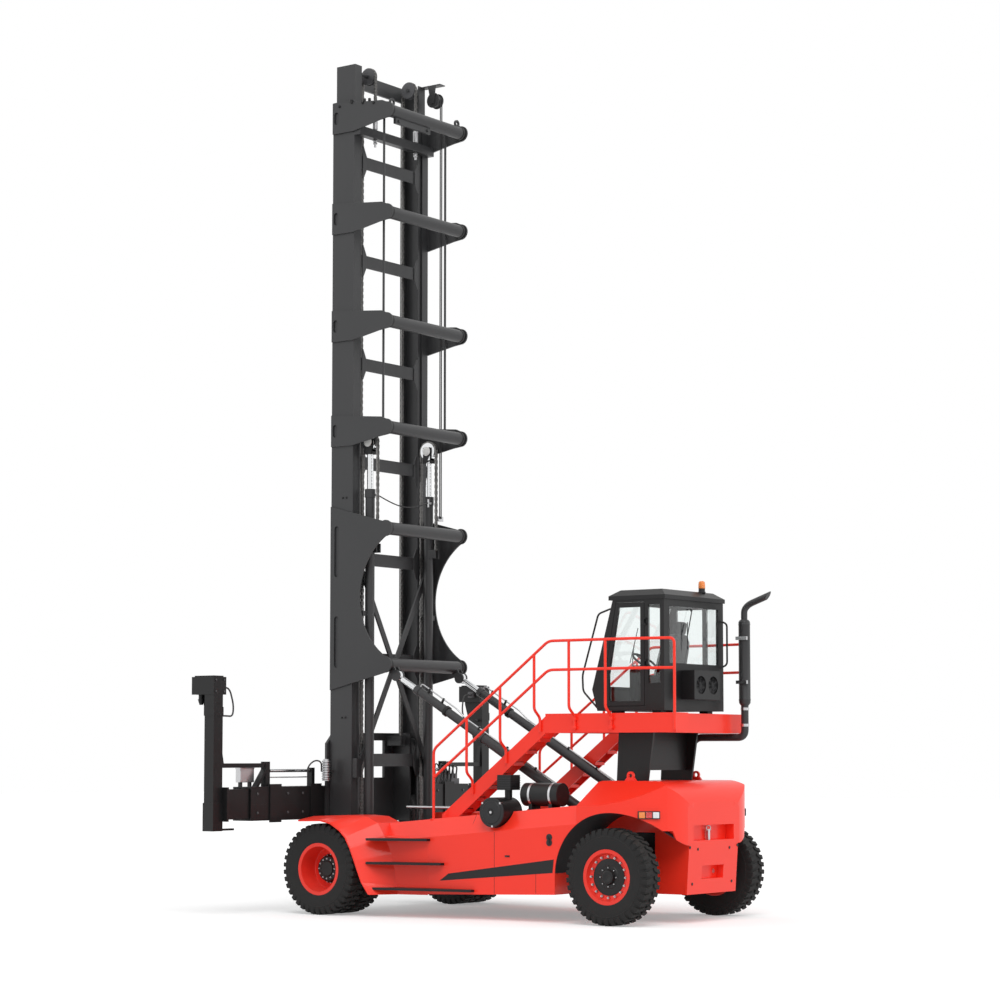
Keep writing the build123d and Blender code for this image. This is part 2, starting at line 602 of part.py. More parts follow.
def carriage_frame():
    """Lift carriage: two roller cheeks inside the inner stage and the broad plate in front."""
    low, high = CARRIAGE_Z
    plate_x = (MAST_X[1] + 12, SPREADER_X[0])
    cheek_x = (MAST_X[0] + 100, plate_x[0] + 10)
    cheek = block(cheek_x, (CARRIAGE_CHEEK_Y - 40, CARRIAGE_CHEEK_Y), (low, high))
    channel_x = (MAST_X[0] + MAST_X[1]) / 2
    roller_radius = (MAST_X[1] - MAST_X[0]) / 2 - 2 * MAST_WALL - STAGE_GAP - RUNNING_GAP
    rollers = [disc(channel_x, z, roller_radius, (CARRIAGE_CHEEK_Y - 10, INNER_OUTER_Y - MAST_WALL - 20))
               for z in (low + 250, high - 250)]
    chain_x = TOP_SHEAVE_X + TOP_SHEAVE_RADIUS + CHAIN_THICK / 2
    anchors = []
    for way in (-1, 1):
        near, far = CHAIN_WIDTH / 2 + 10, CHAIN_WIDTH / 2 + 35
        span = sorted((TOP_SHEAVE_Y + way * near, TOP_SHEAVE_Y + way * far))
        anchors.append(block((chain_x - 40, plate_x[0] + 10), span, (high - 200, high - 40)))
    left = [cheek, *rollers, *anchors]
    half, cut = CARRIAGE_HALF, 170
    plate = section_bar([(-half, low), (half, low), (half, high - cut), (half - cut, high),
                         (cut - half, high), (-half, high - cut)], plate_x)
    window = block((plate_x[0] - 1, plate_x[1] + 1), (-420, 420), (SPREADER_Z[1] + 120, high - 120))
    return join([*left, *[other_side(piece) for piece in left], plate - window])


def tunnel_x(side):
    """Inside of the main beam's tunnel in x: the left beam runs in the rear one."""
    low, high = SPREADER_X
    middle = (low + high) / 2
    half_wall = SPREADER_WALL / 2
    if side > 0:
        return (low + SPREADER_WALL, middle - half_wall)
    return (middle + half_wall, high - SPREADER_WALL)


def spreader_main_beam():
    """Fixed beam of the spreader: a box with two tunnels, and on top a guide post and a ram each side."""
    low, high = SPREADER_Z
    beam = block(SPREADER_X, (-SPREADER_HALF, SPREADER_HALF), SPREADER_Z)
    for side in (-1, 1):
        beam -= block(tunnel_x(side), (-SPREADER_HALF - 1, SPREADER_HALF + 1),
                      (low + SPREADER_WALL, high - SPREADER_WALL))
    post_x = (GUIDE_X[0] - 2 * GUIDE_GAP, GUIDE_X[1] + 2 * GUIDE_GAP)
    post = block(post_x, POST_Y, (high - 5, GUIDE_Z[1] + 3 * GUIDE_GAP))
    strut = section_bar([(POST_Y[1] - 5, GUIDE_Z[0] - 80), (POST_Y[1] - 5, GUIDE_Z[0] - 20),
                         (POST_Y[1] + 215, high - 5), (POST_Y[1] + 155, high - 5)], post_x)
    post -= block((GUIDE_X[0] - GUIDE_GAP, GUIDE_X[1] + GUIDE_GAP), (POST_Y[0] - 1, POST_Y[1] + 1),
                  (GUIDE_Z[0] - GUIDE_GAP, GUIDE_Z[1] + GUIDE_GAP))
    stand = block(post_x, RAM_Y, (high - 5, RAM_Z + 2 * RAM_RADIUS))
    ram_x = (GUIDE_X[0] + GUIDE_X[1]) / 2
    ram = rod((ram_x, RAM_Y[1] - 5, RAM_Z), (ram_x, POST_Y[0] + 5, RAM_Z), RAM_RADIUS)
    left = [post, strut, stand, ram]
    collars = [block((SPREADER_X[0] - 22, SPREADER_X[0] + 2), (y - 130, y + 130), (low - 30, high + 40))
               for y in (-2200, -1250, 1250, 2200)]
    return join([beam, *left, *[other_side(piece) for piece in left], *collars])


def telescopic_beam(side):
    """Sliding beam with its end tower, guide bar and the head that holds the twistlock."""
    low, high = SPREADER_Z
    inset = SPREADER_WALL + SLIDE_GAP
    tunnel = tunnel_x(side)

    def across(near, far):
        """Range of y on this side of the machine."""
        return sorted((side * near, side * far))

    beam = block((tunnel[0] + SLIDE_GAP, tunnel[1] - SLIDE_GAP), across(-BEAM_INNER_Y, BEAM_END_Y + 5),
                 (low + inset, high - inset))
    end = block((SPREADER_X[0] + 4, SPREADER_X[1] - 4), across(BEAM_END_Y, BEAM_END_Y + END_PLATE),
                (low, high))
    tower = block(TOWER_X, across(*TOWER_Y), (TOWER_Z[0], HEAD_Z[0] + 5))
    guide = block(GUIDE_X, across(GUIDE_INNER_Y, TOWER_Y[0] + 5), GUIDE_Z)
    gusset = section_bar([(side * (TOWER_Y[0] + 5), GUIDE_Z[0]), (side * (TOWER_Y[0] + 5), GUIDE_Z[1] + 300),
                          (side * (TOWER_Y[0] - 60), GUIDE_Z[1]), (side * (TOWER_Y[0] - 60), GUIDE_Z[0])],
                         GUIDE_X)
    collar = block((TOWER_X[0] - 8, TOWER_X[1] + 8), across(TOWER_Y[0] - 8, TOWER_Y[1] + 8), COLLAR_Z)
    shoe = block((TOWER_X[0] - 12, TOWER_X[1] + 12), across(TOWER_Y[0], TOWER_Y[1] + 12),
                 (TOWER_Z[0], SPREADER_Z[1] - 230))
    lever = block(GUIDE_X, across(TOWER_Y[0] - 300, TOWER_Y[0] + 5), (TOWER_Z[0] + 5, TOWER_Z[0] + 35))
    brace = side_plate([(TOWER_X[1] - 5, TOWER_Z[1] - 620), (TOWER_X[1] - 5, HEAD_Z[0] + 2),
                        (HEAD_X[1] - 60, HEAD_Z[0] + 2), (HEAD_X[1] - 60, HEAD_Z[0] - 40)],
                       across(TOWER_Y[0] + 20, TOWER_Y[0] + 45))
    head = block(HEAD_X, across(*HEAD_Y), HEAD_Z)
    lid = block((HEAD_X[0] + 30, HEAD_X[1] - 30), across(HEAD_Y[0] + 30, HEAD_Y[1] - 30),
                (HEAD_Z[1] - 2, HEAD_Z[1] + 18))
    foot = (TWISTLOCK_X, side * TWISTLOCK_Y, HEAD_Z[0] + 2)
    shank = rod(foot, (foot[0], foot[1], HEAD_Z[0] - 70), 40)
    cone = Pos(foot[0], foot[1], HEAD_Z[0] - 110) * Rot(180, 0, 0) * Cone(52, 26, 84)
    pad = block((tunnel[0] + 30, tunnel[1] - 30), across(-BEAM_INNER_Y, -BEAM_INNER_Y + 200),
                (low + SPREADER_WALL + RUNNING_GAP, low + inset + 2))
    return join([beam, end, tower, guide, gusset, collar, shoe, lever, brace, head, lid, shank, cone, pad])


TILT_SPAN = hypot(TILT_MAST_PIN[0] - TILT_BODY_PIN[0], TILT_MAST_PIN[1] - TILT_BODY_PIN[1])
TILT_WAY = ((TILT_MAST_PIN[0] - TILT_BODY_PIN[0]) / TILT_SPAN,
            (TILT_MAST_PIN[1] - TILT_BODY_PIN[1]) / TILT_SPAN)


def on_tilt(along):
    """Point on the left tilt cylinder's line, so far from its pin on the chassis."""
    return (TILT_BODY_PIN[0] + along * TILT_WAY[0], TILT_Y, TILT_BODY_PIN[1] + along * TILT_WAY[1])


def tilt_eye(pin, bore):
    """Eye at one end of a tilt cylinder."""
    half = TILT_EYE_WIDTH / 2
    ring = disc(*pin, TILT_EYE_RADIUS, (TILT_Y - half, TILT_Y + half))
    return ring, disc(*pin, bore, (TILT_Y - half - 1, TILT_Y + half + 1))


def tilt_barrels():
    """Barrels of the two long tilt cylinders, pinned to the chassis."""
    ring, bore = tilt_eye(TILT_BODY_PIN, TILT_PIN_RADIUS + 0.3)
    neck = rod(on_tilt(TILT_EYE_RADIUS - 12), on_tilt(TILT_NECK + 5), TILT_EYE_WIDTH / 2 - 1)
    barrel = rod(on_tilt(TILT_NECK), on_tilt(TILT_BARREL_LENGTH), TILT_BARREL_RADIUS)
    collar = rod(on_tilt(TILT_BARREL_LENGTH - 110), on_tilt(TILT_BARREL_LENGTH), TILT_BARREL_RADIUS + 10)
    hollow = rod(on_tilt(400), on_tilt(TILT_BARREL_LENGTH - GLAND), TILT_ROD_RADIUS + BORE_GAP)
    gland = rod(on_tilt(TILT_BARREL_LENGTH - GLAND - 1), on_tilt(TILT_BARREL_LENGTH + 1),
                TILT_ROD_RADIUS + RUNNING_GAP)
    return pair(join([ring, neck, barrel, collar]) - bore - hollow - gland)


def tilt_rods():
    """Rods of the tilt cylinders; the eye runs loose round the pin on the mast."""
    ring, bore = tilt_eye(TILT_MAST_PIN, TILT_PIN_RADIUS + TILT_EYE_GAP)
    stem = rod(on_tilt(TILT_BARREL_LENGTH - 900), on_tilt(TILT_SPAN - TILT_NECK), TILT_ROD_RADIUS)
    neck = rod(on_tilt(TILT_SPAN - TILT_NECK - 5), on_tilt(TILT_SPAN - TILT_EYE_RADIUS + 12),
               TILT_EYE_WIDTH / 2 - 1)
    return pair(join([ring, neck, stem]) - bore)


def chassis_frame():
    """Two deep rails tied by cross members, with the mast pivots and the tilt cylinder lugs."""
    rail = block((SPLIT_X + 50, -100), FRAME_Y, FRAME_Z)
    cross = [block((x - 60, x + 60), (-FRAME_Y[0], FRAME_Y[0]), (FRAME_Z[0] + 40, FRAME_Z[1] - 40))
             for x in (-1300, ENGINE_X[1] + 130, ENGINE_X[0] - 120)]
    front_beam = block((-450, -300), (-FENDER_INNER_Y, FENDER_INNER_Y), FRAME_Z)
    cheek_y = (MAST_HALF_WIDTH - 24, MAST_HALF_WIDTH + 20)
    cheek = side_plate([(-320, FRAME_Z[0]), (MAST_PIVOT_X - 20, MAST_PIVOT_Z - 115),
                        (MAST_PIVOT_X + 75, MAST_PIVOT_Z - 80), (MAST_PIVOT_X + 75, MAST_PIVOT_Z + 80),
                        (MAST_PIVOT_X - 20, MAST_PIVOT_Z + 115), (-320, FRAME_Z[1])], cheek_y)
    pin = disc(MAST_PIVOT_X, MAST_PIVOT_Z, MAST_PIN_RADIUS, (MAST_HALF_WIDTH - 88, cheek_y[1] + 20))
    outrigger = [block((x - 70, x + 70), (FRAME_Y[1], BODY_INNER_Y), (FRAME_Z[0] + 60, FRAME_Z[1] - 60))
                 for x in (-1300, ENGINE_X[1] + 130, TILT_BODY_PIN[0])]
    lugs = []
    for way in (-1, 1):
        inner = TILT_EYE_WIDTH / 2 + LUG_PLATE_GAP
        span = sorted((TILT_Y + way * inner, TILT_Y + way * (inner + LUG_PLATE)))
        x, z = TILT_BODY_PIN
        foot_z = FRAME_Z[1] - 70
        lugs.append(bored_lug(TILT_BODY_PIN, 80, span, ((x - 65, foot_z), (x + 65, foot_z))))
    reach = TILT_EYE_WIDTH / 2 + LUG_PLATE_GAP + LUG_PLATE
    body_pin = disc(*TILT_BODY_PIN, TILT_PIN_RADIUS, (TILT_Y - reach, TILT_Y + reach))
    left = [rail, cheek, pin, *outrigger, *lugs, body_pin]
    return join([*left, *[other_side(piece) for piece in left], *cross, front_beam])


def wheel_wells():
    """Room round the steered wheels, to be cut from the bodywork on both sides."""
    x, outer = STEER_AXLE_X, BODY_HALF_WIDTH + 200
    well = disc(x, TYRE_RADIUS, WELL_RADIUS, (WELL_INNER_Y, outer))
    below = block((x - WELL_RADIUS, x + WELL_RADIUS), (WELL_INNER_Y, outer), (-50, TYRE_RADIUS))
    return pair(join([well, below]))


def body_top(x):
    """Height of the side bodies' rising top at x."""
    share = (BODY_FRONT_X - x) / (BODY_FRONT_X - BODY_REAR_X)
    return BODY_TOP_Z[0] + share * (BODY_TOP_Z[1] - BODY_TOP_Z[0])


def bevel_wedge(inset):
    """Wedge cut off the outer top edge of the left side body, moved inwards by inset."""
    wide, deep = BODY_BEVEL
    over = 60
    faces = []
    for x in (BODY_FRONT_X + over, BODY_REAR_X - over):
        top = body_top(x) + over
        near = BODY_HALF_WIDTH - inset * hypot(wide, deep) / deep
        reach = wide * (deep + over) / deep
        far = near + over
        corners = ((near - reach, top), (far, top), (far, top - (deep + over) * (reach + over) / reach))
        faces.append(Plane.YZ.offset(x) * make_face(Polyline(*corners, close=True)))
    return loft(faces, ruled=True)


def body_form():
    """Outer form of the left side body: a long box with a rising top and a bevelled shoulder."""
    front, rear = BODY_FRONT_X, BODY_REAR_X
    outline = [(front, 320), (front, body_top(front)), (rear, body_top(rear)), (rear, 420)]
    return side_plate(outline, (BODY_INNER_Y, BODY_HALF_WIDTH)) - bevel_wedge(0)


def side_bodies():
    """Long hollow boxes on both sides of the chassis: tanks and lockers with a rising top."""
    front, rear = BODY_FRONT_X - BODY_WALL, BODY_REAR_X + BODY_WALL
    shell = body_form()
    hollow = [(front, 320 + BODY_WALL), (front, body_top(front) - BODY_WALL),
              (rear, body_top(rear) - BODY_WALL), (rear, 420 + BODY_WALL)]
    core = side_plate(hollow, (BODY_INNER_Y + BODY_WALL, BODY_HALF_WIDTH - BODY_WALL))
    core -= bevel_wedge(BODY_WALL)
    well = disc(STEER_AXLE_X, TYRE_RADIUS, WELL_RADIUS + BODY_WALL, (BODY_INNER_Y, BODY_HALF_WIDTH))
    end_wall = block((BODY_REAR_X - 1, STEER_AXLE_X + WELL_RADIUS + BODY_WALL), (0, 2 * BODY_HALF_WIDTH),
                     (0, TYRE_RADIUS))
    notch_y = (AIR_CLEANER_Y[0] - 30, BODY_HALF_WIDTH + 10)
    notch = disc(*AIR_CLEANER, AIR_CLEANER_RADIUS + AIR_CLEANER_GAP, notch_y)
    lining = disc(*AIR_CLEANER, AIR_CLEANER_RADIUS + AIR_CLEANER_GAP + BODY_WALL,
                  (notch_y[0] - BODY_WALL, notch_y[1]))
    right = shell - (core - well - end_wall)
    left = shell - (core - well - end_wall - lining) - notch
    return join([left, other_side(right)]) - wheel_wells()


# Fender lines in x and z from the front lip to the foot behind the wheel, corner for corner:
# the arch edge, the seam above the flare, and the flare's foot on the side of the body
FENDER_EDGE = ((374, 1418), (-60, 1430), (-264, 1390), (-440, 1290), (-560, 1180), (-640, 1045),
               (-660, 1010), (-740, 832), (-800, 690), (-880, 507), (-1010, 334))
FENDER_SEAM = ((374, 1470), (-150, 1487), (-400, 1490), (-660, 1475), (-880, 1385), (-1004, 1200),
               (-1012, 1180), (-1140, 930), (-1200, 690), (-1240, 470), (-1270, 334))
FLARE_FOOT = (*FENDER_SEAM[:6], *[(-1750, z) for z in (1150, 930, 690, 470, 334)])


def fender_section(line, y):
    """Face across the machine at y, between a fender line and the wheel's axis."""
    return Plane.XZ.offset(-y) * make_face(Polyline(*line, (0, TYRE_RADIUS), close=True))


def fender():
    """Left drive wheel's fender: rounded outside, flat on top and flared back on to the body."""
    edge = fender_section(FENDER_EDGE, FENDER_OUTER_Y)
    seam = fender_section(FENDER_SEAM, FENDER_SEAM_Y)
    foot = fender_section(FLARE_FOOT, BODY_HALF_WIDTH)
    shell = join([loft([edge, seam], ruled=True), loft([seam, foot], ruled=True),
                  side_plate([*FENDER_SEAM, (0, TYRE_RADIUS)], (FENDER_INNER_Y, BODY_HALF_WIDTH))])
    room = []
    for x, z in FENDER_EDGE:
        share = 1 - FENDER_WALL / hypot(x, z - TYRE_RADIUS)
        room.append((x * share, TYRE_RADIUS + (z - TYRE_RADIUS) * share))
    front, back = (room[0][0] + TYRE_RADIUS, room[0][1]), (room[-1][0], 0)
    arch = side_plate([front, *room, back, (front[0], 0)],
                      (FENDER_INNER_Y + FENDER_WALL, FENDER_OUTER_Y + 1))
    hub_room = disc(0, TYRE_RADIUS, 600, (FENDER_INNER_Y - 1, FENDER_OUTER_Y))
    below = block((-TYRE_RADIUS, TYRE_RADIUS), (FENDER_INNER_Y - 1, FENDER_OUTER_Y), (0, TYRE_RADIUS))
    return shell - arch - hub_room - below - body_form()


def front_fenders():
    """Fenders of both drive wheels."""
    return pair(fender())


def access_steps():
    """Three steps behind each drive wheel, tapering in to the side of the body."""
    front, wide = -880, BODY_HALF_WIDTH + STEP_REACH
    # Each row: height of the tread, x where it ends against the body
    rows = ((1165, -1790), (815, -2050), (440, -2600))
    steps = []
    for z, end in rows:
        outline = [(front, BODY_HALF_WIDTH), (front, wide), (front - 200, wide), (end, BODY_HALF_WIDTH + 90),
                   (end, BODY_HALF_WIDTH)]
        steps.append(plan_plate(outline, (z - 35, z)))
    return pair(join(steps) - fender())


def deck_plate():
    """Flat deck between the side bodies, resting on the chassis rails."""
    return block((BODY_REAR_X + 550, -520), (-BODY_INNER_Y + 1, BODY_INNER_Y - 1),
                 (FRAME_Z[1], FRAME_Z[1] + DECK_THICK))


def engine_block():
    """Engine and gearbox as one heavy block between the rails."""
    half = FRAME_Y[0]
    return block(ENGINE_X, (-half, half), (640, FRAME_Z[1] - 2))


def flank_plan():
    """Plan of the tail: flanks drawn in by a long arc, a tighter one round each rear corner."""
    front, turn = BODY_REAR_X + 400, BODY_REAR_X - 100
    corner = (TAIL_X + 115, TAIL_HALF + 80)
    back = TAIL_HALF - 440
    edges = Line((front, -BODY_HALF_WIDTH), (front, BODY_HALF_WIDTH))
    edges += Line((TAIL_X, back), (TAIL_X, -back))
    for side in (-1, 1):
        edges += Line((front, side * BODY_HALF_WIDTH), (turn, side * BODY_HALF_WIDTH))
        edges += ThreePointArc((turn, side * BODY_HALF_WIDTH), (SPLIT_X - 20, side * (BODY_HALF_WIDTH - 150)),
                               (corner[0], side * corner[1]))
        edges += ThreePointArc((corner[0], side * corner[1]), (TAIL_X + 25, side * (TAIL_HALF - 140)),
                               (TAIL_X, side * back))
    return make_face(edges)


def rear_form():
    """Outer form of the tail: curved hood slope in front, shoulders sloping up, the rear rounded."""
    axle = STEER_AXLE_X
    foot, knee = (axle + 886, 1670), (axle + 600, HOOD_TOP_Z - 85)
    edges = Line(foot, knee)
    edges += ThreePointArc(knee, (axle + 545, HOOD_TOP_Z - 32), (axle + 470, HOOD_TOP_Z))
    edges += Line((axle + 470, HOOD_TOP_Z), (TAIL_X + 330, HOOD_TOP_Z))
    edges += ThreePointArc((TAIL_X + 330, HOOD_TOP_Z), (TAIL_X + 88, HOOD_TOP_Z - 108),
                           (TAIL_X, HOOD_TOP_Z - 380))
    edges += Polyline((TAIL_X, HOOD_TOP_Z - 380), (TAIL_X, 1150), (TAIL_X + 50, 420), (SPLIT_X, 420),
                      (SPLIT_X, FRAME_Z[1] + 1), (axle + 686, FRAME_Z[1] + 1), foot)
    form = side_face(edges, (-BODY_HALF_WIDTH, BODY_HALF_WIDTH))
    beside = block((BODY_REAR_X - 1, 0), (BODY_INNER_Y - 2, 2000), (0, 3000))
    shoulder = section_bar([(BODY_HALF_WIDTH + 1, SHOULDER_Z), (TAIL_HALF, HOOD_TOP_Z + 1),
                            (BODY_HALF_WIDTH + 1, HOOD_TOP_Z + 1)], (TAIL_X - 300, 0))
    return (form & extrude(flank_plan(), amount=3000)) - pair(join([beside, shoulder]))


def rear_hood():
    """Cover over the engine and the steering axle, with the arches over the steered wheels."""
    axle = STEER_AXLE_X
    hollow = side_plate([(axle + 796, 1640), (axle + 476, HOOD_TOP_Z - 30), (SPLIT_X + 40, HOOD_TOP_Z - 30),
                         (SPLIT_X + 40, FRAME_Z[1]), (axle + 656, FRAME_Z[1])],
                        (-WELL_INNER_Y + 30, WELL_INNER_Y - 30))
    tilt_room = block((TILT_BODY_PIN[0] - 220, TILT_BODY_PIN[0] + 150), (TILT_Y - 95, TILT_Y + 95),
                      (FRAME_Z[1], 1720))
    front_part = block((SPLIT_X, 0), (-2000, 2000), (0, 3000))
    return (rear_form() & front_part) - hollow - wheel_wells() - pair(tilt_room)


def rear_counterweight():
    """Cast counterweight behind the steering axle, waisted below, with the tow pin's recess and a slot."""
    rear_part = block((TAIL_X - 100, SPLIT_X), (-2000, 2000), (0, 3000))
    # Half width below the arches at each height: between the wheels, and of the skirt behind them
    waist_rows = ((400, 660), (780, 700), (1150, 800), (1330, TAIL_HALF))
    skirt_rows = ((400, 700), (450, 780), (540, 820), (1000, 860), (1330, TAIL_HALF))
    waist = []
    for rows, x in ((waist_rows, (TAIL_X + 85, SPLIT_X + 1)), (skirt_rows, (TAIL_X - 100, TAIL_X + 86))):
        waist.append(section_bar([*[(half, z) for z, half in rows], (2000, 1330), (2000, 400)], x))
    slot = block((TAIL_X - 1, TAIL_X + 140), (-300, 300), (630, 820))
    pin_hole = rod((TOW_PIN_X, 0, 400), (TOW_PIN_X, 0, TOW_RECESS_Z[0] + 1), TOW_PIN_RADIUS)
    recess = block((TAIL_X - 1, TAIL_X + 140), (-560, 560), TOW_RECESS_Z)
    casting = (rear_form() & rear_part) - pair(join(waist))
    return casting - slot - pin_hole - recess - wheel_wells()


def lifting_eyes():
    """Two welded eyes on top of the hood for slinging the tail."""
    eyes = []
    for y in (-900, 900):
        x, z = LIFTING_EYE_X, HOOD_TOP_Z + 75
        lug = bored_lug((x, z), 60, (y - 17, y + 17), ((x - 100, HOOD_TOP_Z), (x + 100, HOOD_TOP_Z)))
        eyes.append(lug - disc(x, z, LIFTING_EYE_RADIUS, (y - 18, y + 18)))
    return join(eyes)


def pipe(points, radius):
    """Round pipe along straight runs with mitred corners."""
    first = Vector(*points[0])
    way = Vector(*points[1]) - first
    return sweep(Plane(first, z_dir=way) * Circle(radius), path=Polyline(*points),
                 transition=Transition.RIGHT)


def stair_line(x):
    """Height of the stairs' nosing line at x."""
    slope = (STAIR_TOP[1] - STAIR_FOOT[1]) / (STAIR_TOP[0] - STAIR_FOOT[0])
    return STAIR_FOOT[1] + slope * (x - STAIR_FOOT[0])


def stairs():
    """Stairs on both sides: two deep stringers and box treads, standing on the side bodies."""
    deep = 250
    foot_x, top_x = STAIR_FOOT[0], STAIR_TOP[0]
    seat = body_top(foot_x) + 0.3
    outline = [(foot_x + 30, seat), (foot_x + 30, seat + 60), (top_x, STAIR_TOP[1] + 100),
               (top_x, STAIR_TOP[1] + 100 - deep), (foot_x - 270, body_top(foot_x - 270) + 0.3)]
    inner, outer = STAIR_Y
    pieces = [side_plate(outline, (inner, inner + STAIR_STRINGER)),
              side_plate(outline, (outer - STAIR_STRINGER, outer))]
    run = (top_x - foot_x) / (STAIR_TREADS + 1)
    for step in range(1, STAIR_TREADS + 1):
        x = foot_x + run * step
        z = stair_line(x) - 45
        pieces.append(block((x - 130, x + 110), (inner + 10, outer - 10), (z - 50, z)))
    return pair(join(pieces))


def platform():
    """Walkway round the cab: a deck plate with a deep skirt, longer on the left."""
    low, high = PLATFORM_Z
    rear, front = PLATFORM_X
    outline = [(front, -PLATFORM_HALF), (front, PLATFORM_HALF), (rear, PLATFORM_HALF),
               (rear, PLATFORM_STEP_Y), (PLATFORM_RIGHT_X, PLATFORM_STEP_Y),
               (PLATFORM_RIGHT_X, -PLATFORM_HALF)]
    tray = plan_plate(outline, (low, high))
    face = offset(make_face(Polyline(*outline, close=True)), -PLATFORM_SKIRT, kind=Kind.INTERSECTION)
    return tray - extrude(Plane.XY.offset(low - 1) * face, amount=high - low - 39)


def handrail_side(rear):
    """Left-hand rails: top and middle tube from the stair foot to the platform's rear, and posts."""
    y = PLATFORM_HALF + RAIL_CRANK
    foot_x = STAIR_FOOT[0] - 150
    knee_x = STAIR_TOP[0] + 60
    bend_x = STAIR_TOP[0] - 190
    rise = 900
    half_rise = 450
    foot = body_top(foot_x - RAIL_RADIUS) + 0.3
    top = [(foot_x, y, foot), (foot_x, y, stair_line(foot_x) + rise),
           (knee_x, y, stair_line(knee_x) + rise + 60), (bend_x, y, RAIL_TOP_Z),
           (rear - 60, y, RAIL_TOP_Z), (rear, y, RAIL_TOP_Z - 60), (rear, y, 3060),
           (rear, PLATFORM_HALF + RAIL_RADIUS, 2960), (rear, PLATFORM_HALF + RAIL_RADIUS, 2780)]
    middle = [(foot_x, y, stair_line(foot_x) + half_rise), (knee_x, y, stair_line(knee_x) + half_rise + 60),
              (bend_x, y, RAIL_MID_Z), (rear, y, RAIL_MID_Z)]
    pieces = [pipe(top, RAIL_RADIUS), pipe(middle, RAIL_RADIUS)]
    for x in (PLATFORM_X[1] - 100, PLATFORM_X[1] - 820, PLATFORM_X[1] - 1540):
        near = PLATFORM_HALF + RAIL_RADIUS
        pieces.append(pipe([(x, near, 2780), (x, near, 2960), (x, y, 3060), (x, y, RAIL_TOP_Z)], RAIL_RADIUS))
    for x in (STAIR_FOOT[0] - 720, STAIR_FOOT[0] - 1310):
        near = STAIR_Y[1] + RAIL_RADIUS
        base = stair_line(x) - 60
        pieces.append(pipe([(x, near, base), (x, near, base + 300), (x, y, base + 420),
                            (x, y, stair_line(x) + rise + 40)], RAIL_RADIUS))
    return join(pieces)


def handrails():
    """Handrails of both sides; the right-hand ones end where the platform is shorter."""
    return join([handrail_side(PLATFORM_X[0] + 30), other_side(handrail_side(PLATFORM_RIGHT_X + 30))])


def cab_pedestal():
    """Two tapered plates and a tie that carry the platform and cab above the hood."""
    low, high = HOOD_TOP_Z, PLATFORM_Z[1] - 40
    axle = STEER_AXLE_X
    outline = [(axle + 476, low), (axle + 426, high), (axle - 194, high), (axle - 54, low)]
    plates = [side_plate(outline, (y - 20, y + 20)) for y in (-600, 600)]
    tie = block((axle + 26, axle + 66), (-590, 590), (low + 150, high - 120))
    return join([*plates, tie])


def cab_outline(shift):
    """Side outline of the cab's upper frame, moved inwards by shift on the sloping front and the rear."""
    return [(CAB_FRONT_X - shift, CAB_SILL_Z), (CAB_ROOF_FRONT_X - shift, CAB_ROOF_Z),
            (CAB_REAR_X + shift, CAB_ROOF_Z), (CAB_REAR_X + shift, CAB_SILL_Z)]


def front_x(z):
    """x of the cab's sloping front at a height."""
    share = (z - CAB_SILL_Z) / (CAB_ROOF_Z - CAB_SILL_Z)
    return CAB_FRONT_X + share * (CAB_ROOF_FRONT_X - CAB_FRONT_X)


def door_outline(gap):
    """Side outline of the door, grown by a gap all round."""
    low, high = CAB_BASE_Z + 70 - gap, CAB_ROOF_Z - 45 + gap
    knee = CAB_SILL_Z + 210
    front = DOOR_FRONT_X + gap
    return [(DOOR_HINGE_X - gap, low), (front, low), (front, knee), (front_x(high) - 75 + gap, high),
            (DOOR_HINGE_X - gap, high)]


def cab_base():
    """Lower half of the cab: floor, low walls drawn in at the front, and the mounts on the platform."""
    low, high = CAB_BASE_Z, CAB_SILL_Z
    outline = [(CAB_FRONT_X - 90, low), (CAB_FRONT_X, high), (CAB_REAR_X, high), (CAB_REAR_X, low)]
    tub = side_plate(outline, (-CAB_HALF, CAB_HALF))
    inside = side_plate([(CAB_FRONT_X - 90 - CAB_WALL, low + 40), (CAB_FRONT_X - CAB_WALL, high + 1),
                         (CAB_REAR_X + CAB_WALL, high + 1), (CAB_REAR_X + CAB_WALL, low + 40)],
                        (-CAB_HALF + CAB_WALL, CAB_HALF - CAB_WALL))
    doorway = side_plate(door_outline(DOOR_GAP), (CAB_HALF - CAB_WALL - 1, CAB_HALF + 1))
    feet = [block((x - 70, x + 70), (y - 70, y + 70), (PLATFORM_Z[1], low + 5))
            for x in (CAB_FRONT_X - 340, CAB_REAR_X + 200) for y in (-650, 650)]
    return join([tub - inside - doorway, *feet])


# Windows in the cab's flat walls, as the low and high x and z of each opening
REAR_WINDOW = ((-CAB_HALF + 145, CAB_HALF - 145), (CAB_SILL_Z + 370, CAB_ROOF_Z - 100))
SIDE_WINDOW_Z = (CAB_SILL_Z + 80, CAB_ROOF_Z - 80)
LEFT_WINDOW = ((CAB_REAR_X + 70, CAB_REAR_X + 270), SIDE_WINDOW_Z)
RIGHT_WINDOWS = (LEFT_WINDOW, ((CAB_REAR_X + 340, CAB_REAR_X + 790), SIDE_WINDOW_Z))
FRONT_WINDOW = ((-CAB_HALF + 85, CAB_HALF - 85), (CAB_SILL_Z + 50, CAB_ROOF_Z - 50))


def front_slab(y, z, near, far):
    """Slab parallel to the sloping front, between two distances behind it."""
    return side_plate([(front_x(z[0]) - near, z[0]), (front_x(z[1]) - near, z[1]),
                       (front_x(z[1]) - far, z[1]), (front_x(z[0]) - far, z[0])], y)


